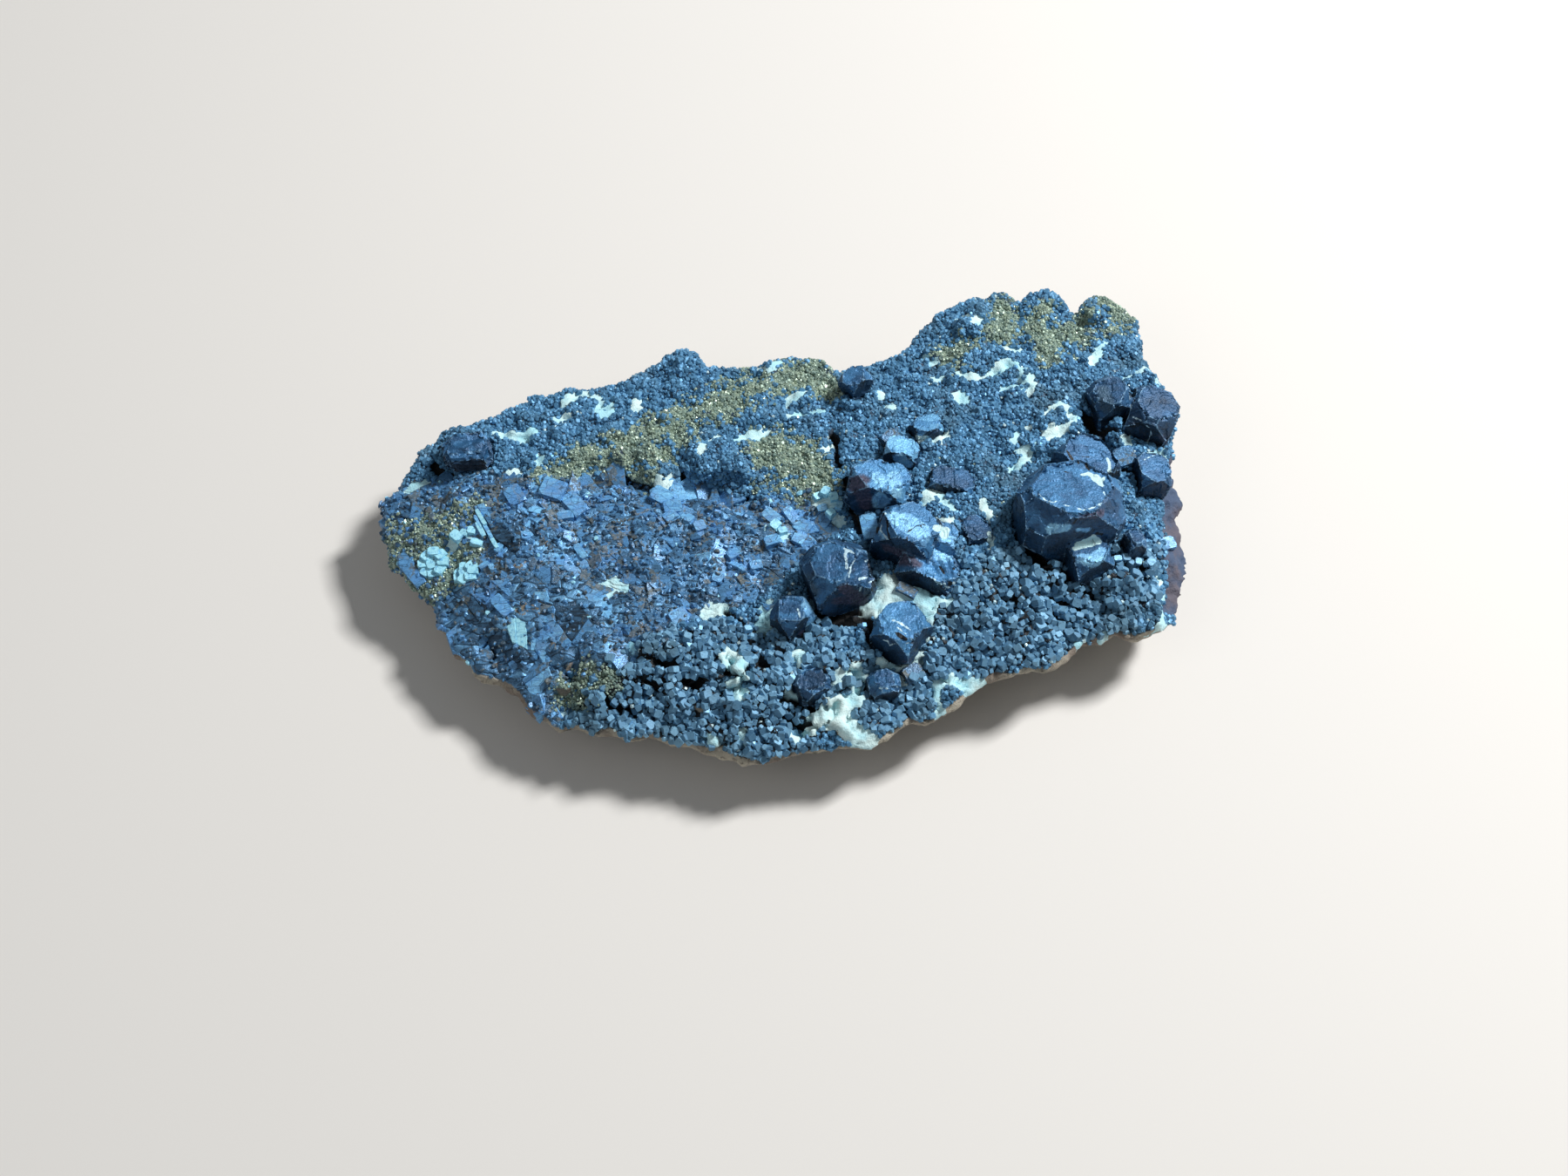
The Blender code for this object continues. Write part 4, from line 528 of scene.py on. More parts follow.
class Finish:
    """A material built from nodes, with its constant values set on the shader itself."""

    def __init__(self, name, **constants):
        self.material = bpy.data.materials.new(name)
        self.material.use_nodes = True
        self.tree = self.material.node_tree
        self.shader = self.tree.nodes["Principled BSDF"]
        for socket, value in constants.items():
            self.shader.inputs[socket.replace("_", " ")].default_value = value

    def node(self, kind, settings=None, inputs=None, output=0):
        made = self.tree.nodes.new(kind)
        for key, value in (settings or {}).items():
            if key == "stops":
                while len(made.color_ramp.elements) < len(value):
                    made.color_ramp.elements.new(0.5)
                for element, (place, colour) in zip(made.color_ramp.elements, value):
                    element.position = place
                    element.color = colour
            else:
                setattr(made, key, value)
        for key, value in (inputs or {}).items():
            if isinstance(value, Value):
                self.tree.links.new(value.socket, made.inputs[key])
            else:
                made.inputs[key].default_value = value
        return Value(self, made.outputs[output])

    def place(self):
        return self.node("ShaderNodeTexCoord", output="Object")

    def along_grain(self, place, scale):
        """A place turned to the grain of the broken field and scaled along and across it."""
        turned = {"Vector": place, "Rotation": (0.0, 0.0, -GRAIN), "Scale": scale}
        return self.node("ShaderNodeMapping", None, turned)

    def noise(self, size, detail=3.0, roughness=0.55, place=None):
        """Cloudy noise from 0 to 1, with clouds about that many millimetres across."""
        return self.node(
            "ShaderNodeTexNoise",
            None,
            {
                "Vector": place or self.place(),
                "Scale": 1 / (size * MM),
                "Detail": detail,
                "Roughness": roughness,
            },
        )

    def shards(self, size):
        """Angular flakes stretched along the grain: a random tone for each, and how deep inside."""
        cloud = {"Vector": self.place(), "Scale": 1 / (2 * MM)}
        wander = self.node("ShaderNodeTexNoise", None, cloud, "Color")
        wander = {0: wander, "Scale": 0.9 * MM}
        wander = self.node("ShaderNodeVectorMath", {"operation": "SCALE"}, wander)
        place = {0: self.place(), 1: wander}
        place = self.node("ShaderNodeVectorMath", {"operation": "ADD"}, place)
        place = self.along_grain(place, (0.62, 1.35, 0.8))
        where = {"Vector": place, "Scale": 1 / (size * MM)}
        flake = self.node("ShaderNodeTexVoronoi", {"feature": "F1"}, where, "Color")
        depth = self.node("ShaderNodeTexVoronoi", {"feature": "DISTANCE_TO_EDGE"}, where)
        return self.node("ShaderNodeSeparateXYZ", None, {0: flake}), depth

    def attribute(self, name):
        return self.node("ShaderNodeAttribute", {"attribute_name": name}, output="Fac")

    def ramp(self, value, low, high, start=0.0, end=1.0):
        """The start value below low, the end value above high, and a smooth change between."""
        return self.node(
            "ShaderNodeMapRange",
            {"interpolation_type": "SMOOTHSTEP"},
            {"Value": value, "From Min": low, "From Max": high, "To Min": start, "To Max": end},
        )

    def shades(self, value, *stops):
        """The colour at this value in a row of stops (place, colour)."""
        return self.node("ShaderNodeValToRGB", {"stops": stops}, {"Fac": value})

    def mix(self, share, first, second):
        return self.node(
            "ShaderNodeMix", {"data_type": "RGBA"}, {0: share, 6: first, 7: second}, 2
        )

    def blend(self, value, low, high, first, second, share=1.0):
        """The first colour where a value is below low, and that share of the second above high."""
        return self.mix(self.ramp(value, low, high, 0.0, share), first, second)

    def bump(self, height, depth, strength=1.0):
        """A bump whose height of 1 stands for that many millimetres."""
        relief = {"Height": height, "Distance": depth * MM, "Strength": strength}
        return self.node("ShaderNodeBump", None, relief)

    def feed(self, **links):
        """Links these values to the shader's sockets of the same names."""
        for socket, value in links.items():
            self.tree.links.new(value.socket, self.shader.inputs[socket.replace("_", " ")])


def galena_grain_finish(name, dark, light):
    """Small galena crystals, each in its own tone, darker and duller in patches, with those of tone 1
    painted near white as painted glints.
    """
    finish = Finish(name, Roughness=0.4)
    tone = finish.attribute("tone")
    cloud = finish.noise(6.0)
    speck = finish.noise(0.35, detail=2.0)
    colour = finish.mix(tone, dark, light)
    colour = finish.blend(cloud, 0.5, 0.72, colour, srgb(74, 100, 110), 0.5)
    # Grains of tone 1 are painted near white: painted glints
    colour = finish.blend(tone, 0.96, 1.0, colour, srgb(212, 240, 244))
    colour = finish.blend(speck, 0.55, 0.75, colour, srgb(32, 56, 76), 0.5)
    metal = finish.ramp(cloud, 0.4, 0.7, 0.32, 0.2)
    finish.feed(
        Base_Color=colour,
        Metallic=metal,
        Roughness=finish.ramp(tone + speck * 0.5, 0.2, 1.3, 0.66, 0.44),
        Normal=finish.bump(speck, 0.05),
    )
    return finish.material


def pyrite_finish():
    """Small pyrite crystals, from dull olive to bright brass."""
    finish = Finish("pyrite_grains", Metallic=0.35)
    tone = finish.attribute("tone")
    cloud = finish.noise(3.0)
    speck = finish.noise(0.3, detail=2.0)
    colour = finish.mix(tone, srgb(110, 135, 129), srgb(198, 215, 190))
    colour = finish.blend(cloud, 0.5, 0.75, colour, srgb(104, 130, 130), 0.6)
    finish.feed(
        Base_Color=colour,
        Roughness=finish.ramp(tone, 0.0, 1.0, 0.6, 0.25),
        Normal=finish.bump(speck, 0.06),
    )
    return finish.material


def crust_finish():
    """The rock itself: galena crust, broken field, pyrite, pale rock and the bare broken sides, with
    painted shade in its gaps and cracks and painted glints on the pyrite.
    """
    finish = Finish("crusted_rock")
    fine = finish.noise(0.5, detail=4.0)
    cloud = finish.noise(4.0, detail=4.0)
    grit = finish.noise(0.16, detail=2.0)
    wobble = (fine - 0.5) * 1.1 + (grit - 0.5) * 0.4
    pale = finish.ramp(finish.attribute("pale") + wobble * 0.6, -0.05, 0.05)
    pyrite = finish.ramp(finish.attribute("pyrite") + (cloud - 0.5) * 5.0 + wobble, -0.5, 0.8)
    field = finish.ramp(finish.attribute("field") + wobble, -0.2, 0.3)
    stain = finish.ramp(finish.attribute("stain") + (cloud - 0.5) * 4.0 + wobble * 2.0, -0.6, 1.2)
    bare = finish.ramp(finish.attribute("bare") + wobble * 0.4, 0.35, 0.65)
    reddish = finish.ramp(finish.attribute("reddish") + wobble * 0.6, -0.3, 0.5)

    galena = finish.blend(fine, 0.35, 0.7, srgb(30, 50, 68), srgb(58, 92, 120))
    # Between the coarse crystals the crust is painted near black: painted shade in the deep gaps
    coarse_gap_shade = finish.blend(fine, 0.35, 0.7, srgb(4, 8, 12), srgb(20, 34, 46))
    galena = finish.blend(finish.attribute("coarse"), 0.1, 0.6, galena, coarse_gap_shade)
    flake, depth = finish.shards(1.7)
    chip = finish.shards(0.6)[0]
    slate = finish.shades(
        flake * 0.5 + chip * 0.4 + (cloud - 0.5) * 0.6,
        (0.1, srgb(44, 70, 92)),
        (0.5, srgb(84, 132, 172)),
        (0.9, srgb(130, 192, 236)),
    )
    # The cracks between the flakes are painted dark: painted shade
    slate = finish.mix(finish.ramp(depth, 0.0, 0.05, 0.8, 0.0), slate, srgb(22, 32, 42))
    rusty = finish.blend(fine, 0.4, 0.65, srgb(86, 88, 78), srgb(134, 118, 92))
    stain = finish.ramp(stain * 0.35 + cloud + (fine - 0.5) * 0.5, 0.66, 0.78, 0.0, 0.85)
    slate = finish.mix(stain, slate, rusty)
    colour = finish.mix(field, galena, slate)
    brass = finish.blend(fine, 0.4, 0.68, srgb(84, 104, 98), srgb(140, 156, 134))
    # Small pale specks on the pyrite are painted glints
    brass = finish.blend(grit, 0.62, 0.72, brass, srgb(208, 216, 186))
    colour = finish.mix(pyrite, colour, brass)
    chalk = finish.blend(cloud, 0.35, 0.65, srgb(168, 222, 234), srgb(216, 242, 240))
    chalk = finish.blend(fine, 0.6, 0.75, chalk, srgb(124, 166, 184), 0.45)
    broken = finish.blend(cloud, 0.35, 0.62, srgb(124, 112, 102), srgb(172, 166, 150))
    broken = finish.blend(fine, 0.5, 0.7, broken, srgb(92, 82, 76), 0.7)
    colour = finish.mix(bare, colour, broken)
    maroon = finish.blend(cloud, 0.4, 0.6, srgb(66, 84, 112), srgb(92, 88, 100))
    colour = finish.mix(reddish, colour, maroon)
    colour = finish.mix(pale, colour, chalk)

    # The deep gaps are painted near black: painted shade, and the painted shadow under the largest
    # crystal
    gap = finish.ramp(finish.attribute("gap"), -0.1, 0.25)
    colour = finish.mix(gap, colour, srgb(6, 9, 12))

    metal = (1 - gap) * (1 - pale) * (1 - bare) * (1 - reddish) * (1 - stain * field) * 0.4
    relief = fine * 0.7 + grit * 0.3 + field * finish.ramp(depth, 0.0, 0.12) * 0.5
    finish.feed(
        Base_Color=colour,
        Metallic=metal,
        Roughness=finish.ramp(metal, 0.0, 0.4, 0.72, 0.45),
        Normal=finish.bump(relief, 0.22),
    )
    return finish.material


def cleavage_finish():
    """Broken galena faces: from dark slate to a bright blue, finely streaked, with brown films, painted
    icy at the highest tones as painted reflections and dark in the cracks as painted shade.
    """
    finish = Finish("cleavage_galena")
    tone = finish.attribute("tone")
    lengthwise = finish.along_grain(finish.place(), (0.2, 2.2, 1.0))
    streak = finish.noise(0.7, 4.0, 0.5, lengthwise)
    fine = finish.noise(0.4, detail=4.0)
    grit = finish.noise(0.22, detail=3.0)
    cloud = finish.noise(2.6, detail=4.0)
    chip, depth = finish.shards(0.8)
    colour = finish.shades(
        tone + (streak - 0.5) * 0.55 + (fine - 0.5) * 0.3 + (chip - 0.5) * 0.2,
        (0.0, srgb(34, 52, 68)),
        (0.3, srgb(76, 122, 160)),
        (0.7, srgb(98, 160, 214)),
        (1.0, srgb(134, 206, 250)),
    )
    vein = (cloud - 0.5) * (cloud - 0.5) * 30 - finish.attribute("rust") * 0.12
    vein = vein - (finish.noise(5.0) - 0.5) * 0.3 + (fine - 0.5) * 0.25
    film = finish.ramp(vein, 0.0, 0.05, 1.0, 0.0)
    rust = finish.blend(fine, 0.4, 0.65, srgb(78, 88, 86), srgb(126, 122, 104))
    sheen = finish.ramp(finish.noise(4.5), 0.5, 0.62, 0.0, 0.55)
    colour = finish.mix(sheen * finish.ramp(tone, 0.2, 0.6), colour, srgb(92, 150, 214))
    colour = finish.mix(film * finish.ramp(tone, 0.6, 0.7, 0.75, 0.2), colour, rust)
    # The cracks between the flakes are painted dark: painted shade
    colour = finish.mix(finish.ramp(depth, 0.0, 0.04, 0.7, 0.0), colour, srgb(24, 34, 46))
    colour = finish.blend(grit, 0.6, 0.68, colour, srgb(34, 52, 68), 0.5)
    # The highest tones are painted icy bright: painted reflections and glints
    icy_painted_reflection = finish.blend(fine, 0.45, 0.7, srgb(168, 232, 250), srgb(112, 178, 216))
    colour = finish.blend(tone, 0.9, 0.96, colour, icy_painted_reflection)
    finish.feed(
        Base_Color=colour,
        Metallic=finish.ramp(tone + film * 0.5, 0.5, 0.9, 0.22, 0.05),
        Roughness=finish.ramp(fine + film, 0.3, 1.2, 0.3, 0.6),
        Normal=finish.bump(streak * 0.4 + fine * 0.3 + grit * 0.3 + chip * 0.4, 0.16),
    )
    return finish.material


def crystal_finish():
    """Standing crystals: each facet in its own tone, with bright marks that are painted reflections,
    brown, dark and white marks, and painted highlights along the edges.
    """
    finish = Finish("standing_galena")
    fine = finish.noise(0.35, detail=4.0)
    cloud = finish.noise(2.0, detail=4.0)
    flake = finish.shards(1.3)[0]
    tone = finish.attribute("tone")
    colour = finish.shades(
        tone + (cloud - 0.5) * 0.5 + (fine - 0.5) * 0.25 + (flake - 0.5) * 0.2,
        (0.0, srgb(20, 34, 48)),
        (0.4, srgb(42, 86, 126)),
        (0.75, srgb(74, 136, 186)),
        (1.0, srgb(126, 192, 234)),
    )
    grit = finish.noise(0.2, detail=3.0)
    colour = finish.blend(grit, 0.6, 0.7, colour, srgb(20, 34, 46), 0.6)

    def mark(name, shade, low, high, wobble):
        """Lays a shade over the crystals' marks of this name, and gives back where it lies."""
        nonlocal colour
        share = finish.ramp(finish.attribute(name) + (fine - 0.5) * wobble, low, high)
        colour = finish.mix(share, colour, shade)
        return share

    # The bright marks are painted reflections
    bright = finish.ramp(cloud + (fine - 0.5) * 0.4, 0.4, 0.65)
    bright = finish.mix(bright, srgb(112, 170, 216), srgb(150, 210, 242))
    mark("bright", bright, -0.1, 0.25, 0.7)
    brown = finish.blend(fine, 0.4, 0.65, srgb(50, 56, 80), srgb(82, 82, 106))
    dull = mark("brown", brown, -0.2, 0.35, 0.6)
    mark("olive", srgb(58, 88, 112), -0.3, 0.5, 0.9)
    # Lighter edges are painted highlights along the crystals' edges
    painted_edge_highlight = finish.ramp(finish.attribute("edge") + (fine - 0.5) * 1.3, 0.72, 0.95, 0.0, 0.55)
    colour = finish.mix(painted_edge_highlight, colour, srgb(128, 172, 204))
    mark("dark", srgb(10, 16, 22), -0.02, 0.05, 0.16)
    mark("white", srgb(196, 228, 240), -0.02, 0.06, 0.22)
    chalk = mark("cream", srgb(196, 228, 230), -0.02, 0.08, 0.3)
    finish.feed(
        Base_Color=colour,
        Metallic=finish.ramp(dull + chalk * 2, 0.0, 1.0, 0.3, 0.05),
        Roughness=finish.ramp(fine + dull * 0.4, 0.3, 1.0, 0.4, 0.65),
        Normal=finish.bump(fine * 0.5 + cloud * 0.5 + grit * 0.3 + flake * 0.35, 0.2),
    )
    return finish.material


# Reading and changing meshes


def select_only(*things):
    """Selects these objects alone and makes the first one active."""
    bpy.ops.object.select_all(action="DESELECT")
    for thing in things:
        thing.select_set(True)
    bpy.context.view_layer.objects.active = things[0]


def linked(name, data):
    """A new object of this data, linked into the scene."""
    thing = bpy.data.objects.new(name, data)
    bpy.context.scene.collection.objects.link(thing)
    return thing


def copy_of(node, name):
    """A CAD node's copy, with its loose triangles welded and its flat facets made whole."""
    data = bpy.data.meshes.new(name)
    mesh = bmesh.new()
    mesh.from_mesh(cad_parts[node].data)
    bmesh.ops.remove_doubles(mesh, verts=mesh.verts, dist=0.001 * MM)
    still_flat = math.radians(0.5)
    bmesh.ops.dissolve_limit(mesh, angle_limit=still_flat, verts=mesh.verts, edges=mesh.edges)
    mesh.to_mesh(data)
    mesh.free()
    return linked(name, data)


def apply(thing, kind, **settings):
    """Adds a modifier with these settings and applies it."""
    modifier = thing.modifiers.new(kind.lower(), kind)
    for key, value in settings.items():
        setattr(modifier, key, value)
    select_only(thing)
    bpy.ops.object.modifier_apply(modifier=modifier.name)


def vectors(items, name):
    """One vector of each item of a mesh, as rows of numbers."""
    flat = np.empty(len(items) * 3, np.float32)
    items.foreach_get(name, flat)
    return flat.reshape(-1, 3).astype(float)


def points_of(thing):
    return vectors(thing.data.vertices, "co") / MM


def normals_of(thing):
    return vectors(thing.data.vertex_normals, "vector")


def move_points(thing, points):
    """Moves a mesh's points to these places in mm."""
    thing.data.vertices.foreach_set("co", (points * MM).astype(np.float32).ravel())
    thing.data.update()


def store(thing, name, values):
    """Keeps one number for each point of a mesh, under a name that its material reads."""
    layer = thing.data.attributes.new(name, "FLOAT", "POINT")
    layer.data.foreach_set("value", np.asarray(values, np.float32))


def new_mesh(name, points, sizes, corners):
    """An object from points in mm, the number of corners of each face, and all the corners."""
    data = bpy.data.meshes.new(name)
    data.vertices.add(len(points))
    data.vertices.foreach_set("co", (np.asarray(points) * MM).astype(np.float32).ravel())
    data.loops.add(len(corners))
    data.loops.foreach_set("vertex_index", np.asarray(corners, np.int32))
    data.polygons.add(len(sizes))
    starts = np.concatenate([[0], np.cumsum(sizes)[:-1]])
    data.polygons.foreach_set("loop_start", starts.astype(np.int32))
    data.update(calc_edges=True)
    data.validate()
    data.shade_flat()
    return linked(name, data)


def smooth_step(values, low, high):
    """0 below low, 1 above high, and a smooth change between them."""
    share = np.clip((values - low) / (high - low), 0, 1)
    return share * share * (3 - 2 * share)


def rough(points, size, shift=0.0, octaves=1):
    """Smooth noise from about -1 to 1 at each point, with lumps of the given size."""
    return np.array(
        [noise.fractal(Vector(point) / size + Vector((shift, shift, shift)), 0.9, 2.1, octaves)
         for point in points]
    )


def from_segment(points, start, end):
    """How far along a straight piece each point is, from 0 to 1, and its distance from it."""
    along = np.subtract(end, start)
    away = points - start
    share = np.clip(away @ along / max(along @ along, 1e-9), 0, 1)
    return share, np.linalg.norm(away - share[:, None] * along, axis=1)


def inside_strokes(points, strokes):
    """How deep each point is inside the nearest stroke; negative outside.

    Strokes of points (x, y, half width) are seen from above, and with a z too they lie in space.
    """
    depth = np.full(len(points), -99.0)
    for stroke in strokes:
        for (*start, width_1), (*end, width_2) in zip(stroke, stroke[1:]):
            share, distance = from_segment(points[:, : len(start)], start, end)
            depth = np.maximum(depth, width_1 + (width_2 - width_1) * share - distance)
    return depth


def inside_loop(points, loop):
    """Distance of each point from a closed line seen from above, positive inside it."""
    nearest = np.full(len(points), 1e9)
    inside = np.zeros(len(points), bool)
    x, y = points[:, 0], points[:, 1]
    for start, end in zip(loop, loop[1:] + loop[:1]):
        nearest = np.minimum(nearest, from_segment(points[:, :2], start, end)[1])
        (x1, y1), (x2, y2) = start, end
        if y1 != y2:
            inside ^= ((y1 > y) != (y2 > y)) & (x < x1 + (y - y1) * (x2 - x1) / (y2 - y1))
    return np.where(inside, nearest, -nearest)


def fitted_plane(points):
    """The plane z = a x + b y + c that fits the points best, as (a, b, c)."""
    level = np.c_[points[:, :2], np.ones(len(points))]
    return np.linalg.lstsq(level, points[:, 2], rcond=None)[0]


def tree_of(thing):
    """A search tree over a mesh, in mm."""
    points = [tuple(vertex.co / MM) for vertex in thing.data.vertices]
    return BVHTree.FromPolygons(points, [tuple(face.vertices) for face in thing.data.polygons])


def below(surface, x, y):
    """Where a line straight down over this place meets a surface, and the surface's normal."""
    return surface.ray_cast(Vector((x, y, ABOVE_ALL)), Vector((0, 0, -1)))[:2]


def finished(thing, material, slot, *nodes):
    """The last step of every piece: its material, what it rides on, and hiding the CAD nodes that it
    stands in for.
    """
    thing.data.materials.clear()
    thing.data.materials.append(material)
    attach(thing, "root")
    if nodes:
        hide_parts(*nodes)
    return thing


# The rock and its crust


def socket_filler(node, surface):
    """A plug for a crystal's socket: the crystal a little larger, cut off at the crust around it."""
    low, high = (np.array(corner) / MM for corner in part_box(node))
    centre = (low + high) / 2
    reach = (high - low)[:2].max() / 2 + 1.0
    ring = []
    for step in range(16):
        angle = math.tau * step / 16
        x, y = centre[0] + reach * math.cos(angle), centre[1] + reach * math.sin(angle)
        hit = below(surface, x, y)[0]
        if hit:
            ring.append(tuple(hit))
    ring = np.array(ring)
    ring = ring[ring[:, 2] > np.median(ring[:, 2]) - 2]
    slope = fitted_plane(ring)
    level = slope[0] * centre[0] + slope[1] * centre[1] + slope[2] - 0.35
    filler = copy_of(node, "filler_" + node)
    apply(filler, "DISPLACE", strength=0.45 * MM, mid_level=0.0)
    select_only(filler)
    bpy.ops.object.mode_set(mode="EDIT")
    bpy.ops.mesh.select_all(action="SELECT")
    bpy.ops.mesh.bisect(
        plane_co=(centre[0] * MM, centre[1] * MM, level * MM),
        plane_no=(-slope[0], -slope[1], 1.0),
        use_fill=True,
        clear_outer=True,
    )
    bpy.ops.object.mode_set(mode="OBJECT")
    return filler


def crusted_rock(crystal_nodes):
    """The plate with the fine relief of its crust, and where each finish lies on it."""
    rock = copy_of("matrix", "crusted_rock")
    surface = tree_of(rock)
    fillers = [socket_filler(node, surface) for node in crystal_nodes]
    select_only(rock, *fillers)
    bpy.ops.object.join()
    apply(rock, "REMESH", mode="VOXEL", voxel_size=CRUST_VOXEL * MM, adaptivity=0.0)
    apply(rock, "SMOOTH", factor=0.5, iterations=3)

    points, normals = points_of(rock), normals_of(rock)
    pale = inside_strokes(points, PALE_ROCK) + 0.2
    pale += 0.55 * rough(points, 1.9, 51.0) + 0.4 * rough(points, 0.8, 54.0, 2)
    pale -= 2.5 * smooth_step(-normals[:, 2], 0.0, 0.3)
    pyrite = inside_strokes(points, PYRITE)
    field = inside_loop(points, BROKEN_FIELD)
    side = inside_strokes(points, BROKEN_SIDE)
    coarse = smooth_step(inside_strokes(points, COARSE_CRUST), -3, 2)
    front = smooth_step(-normals[:, 1], 0.2, 0.6) * smooth_step(-points[:, 1], 8, 14)
    limit = 0.55 * front + 0.12 * rough(points, 2.0, 15.0)
    bare = smooth_step(limit - normals[:, 2], -0.02, 0.25)
    crust = (1 - bare) * smooth_step(-field, -0.5, 0.5)

    # Relief: a lumpy crust in clumps with gaps between them, rugged bare rock, a finer broken
    # field, a rough broken side and the deep gaps
    clumps = np.abs(rough(points, 3.0, 9.0, 2))
    bulge = (0.24 + 0.16 * coarse) * rough(points, 1.3, 3.0, 2) * crust
    bulge -= (0.3 + 1.1 * coarse) * crust * (1 - smooth_step(clumps, 0.02, 0.13))
    bulge += (0.55 * rough(points, 5.0, 21.0, 3) + 0.16 * rough(points, 1.2, 5.0, 2)) * bare
    bulge += 0.1 * rough(points, 0.8, 40.0, 2) * (1 - crust) * (1 - bare)
    bulge += 0.5 * rough(points, 1.6, 71.0, 2) * smooth_step(side, -0.5, 0.5)
    gaps = inside_strokes(points, DEEP_GAPS) + 0.1 * rough(points, 0.7, 60.0)
    bulge -= 1.1 * smooth_step(gaps, -0.15, 0.3) * (1 - bare)
    points += normals * bulge[:, None]
    points[:, 2] = np.maximum(points[:, 2], 0.0)
    move_points(rock, points)
    store(rock, "pale", np.clip(pale, -2, 2))
    store(rock, "pyrite", np.clip(pyrite, -4, 4))
    store(rock, "field", np.clip(field, -3, 3))
    store(rock, "stain", np.clip(inside_strokes(points, STAINS), -4, 4))
    store(rock, "bare", bare)
    store(rock, "reddish", np.clip(side, -2, 2))
    store(rock, "gap", np.clip(gaps, -1, 1))
    store(rock, "coarse", coarse)
    select_only(rock)
    bpy.ops.object.shade_smooth()
    return finished(rock, crust_finish(), "galena_crust", "matrix")


# Small crystals


def cut_cube():
    """A unit cube with its corners cut to the middle of each edge: 6 squares and 8 triangles."""
    grid = [np.array(place) - 1 for place in np.ndindex(3, 3, 3)]
    return hull_of(np.array([p for p in grid if sorted(abs(p)) == [0, 1, 1]]) / 2)


def blunt_cube():
    """A unit cube with small corners cut off."""
    cut = 0.62
    corners = [(a * cut, b, c) for a in (-1, 1) for b in (-1, 1) for c in (-1, 1)]
    points = [np.roll(corner, turn) for turn in range(3) for corner in corners]
    return hull_of(np.array(points) / 2)


def hull_of(points):
    """Points, face sizes and corners of the convex body round these points."""
    mesh = bmesh.new()
    for point in points:
        mesh.verts.new(point)
    bmesh.ops.convex_hull(mesh, input=mesh.verts)
    bmesh.ops.dissolve_limit(mesh, angle_limit=0.02, verts=mesh.verts, edges=mesh.edges)
    bmesh.ops.recalc_face_normals(mesh, faces=mesh.faces)
    mesh.verts.index_update()
    points = np.array([vertex.co for vertex in mesh.verts])
    sizes = [len(face.verts) for face in mesh.faces]
    corners = [vertex.index for face in mesh.faces for vertex in face.verts]
    mesh.free()
    return points, sizes, corners


def turned(count, rng):
    """Random rotations, as matrices."""
    q = rng.normal(size=(count, 4))
    q /= np.linalg.norm(q, axis=1)[:, None]
    w, x, y, z = q.T
    return np.stack(
        [
            np.stack([1 - 2 * (y * y + z * z), 2 * (x * y - z * w), 2 * (x * z + y * w)], 1),
            np.stack([2 * (x * y + z * w), 1 - 2 * (x * x + z * z), 2 * (y * z - x * w)], 1),
            np.stack([2 * (x * z - y * w), 2 * (y * z + x * w), 1 - 2 * (x * x + y * y)], 1),
        ],
        1,
    )


def many(name, shape, centres, sizes, tones, rng, squash=(0.8, 1.2)):
    """One mesh of many copies of a shape, each turned at random, with its own size and tone."""
    points, face_sizes, corners = shape
    count = len(centres)
    stretched = points[None] * rng.uniform(*squash, size=(count, 1, 3)) * sizes[:, None, None]
    placed = np.einsum("nij,nkj->nki", turned(count, rng), stretched) + centres[:, None]
    shifts = (np.arange(count) * len(points))[:, None]
    thing = new_mesh(
        name,
        placed.reshape(-1, 3),
        np.tile(face_sizes, count),
        (np.array(corners)[None] + shifts).ravel(),
    )
    store(thing, "tone", np.repeat(tones, len(points)))
    return thing


def sampled(rock, per_square, rng):
    """Random places all over the rock: their points, normals and values of its attributes."""
    rock.data.calc_loop_triangles()
    corners = np.empty(len(rock.data.loop_triangles) * 3, np.int32)
    rock.data.loop_triangles.foreach_get("vertices", corners)
    corners = corners.reshape(-1, 3)
    points, normals = points_of(rock), normals_of(rock)
    a, b, c = (points[corners[:, i]] for i in range(3))
    areas = np.linalg.norm(np.cross(b - a, c - a), axis=1) / 2
    count = int(areas.sum() * per_square)
    chosen = rng.choice(len(corners), count, p=areas / areas.sum())
    weights = rng.dirichlet((1, 1, 1), count)

    def blended(values):
        shape = (-1,) + (1,) * (values.ndim - 1)
        return sum(values[corners[chosen, i]] * weights[:, i].reshape(shape) for i in range(3))

    values = {}
    for name in ("pale", "pyrite", "field", "bare", "reddish", "gap"):
        layer = np.empty(len(points), np.float32)
        rock.data.attributes[name].data.foreach_get("value", layer)
        values[name] = blended(layer.astype(float))
    normal = blended(normals)
    normal /= np.linalg.norm(normal, axis=1)[:, None]
    return blended(points), normal, values


def spread(points, spacings):
    """Which of the points to keep so that none is nearer to another than their spacing."""
    cell = float(spacings.max())
    grid = {}
    kept = []
    around = [(i, j, k) for i in (-1, 0, 1) for j in (-1, 0, 1) for k in (-1, 0, 1)]
    rows = points.tolist()
    gaps = spacings.tolist()
    for index, (x, y, z) in enumerate(rows):
        home = (int(x // cell), int(y // cell), int(z // cell))
        gap = gaps[index]
        free = True
        for i, j, k in around:
            for other in grid.get((home[0] + i, home[1] + j, home[2] + k), ()):
                ox, oy, oz = rows[other]
                room = (gap + gaps[other]) / 2
                if (x - ox) ** 2 + (y - oy) ** 2 + (z - oz) ** 2 < room * room:
                    free = False
                    break
            if not free:
                break
        if free:
            grid.setdefault(home, []).append(index)
            kept.append(index)
    return np.array(kept)


def mark_buried(points, clear, crystals):
    """Marks the points that lie inside a standing crystal as not clear."""
    for crystal in crystals:
        boxed = ((crystal["low"] < points) & (points < crystal["high"])).all(axis=1)
        for index in np.nonzero(boxed & clear)[0]:
            near, normal, _, _ = crystal["surface"].find_nearest(Vector(points[index]))
            if (Vector(points[index]) - near).dot(normal) < 0.05:
                clear[index] = False


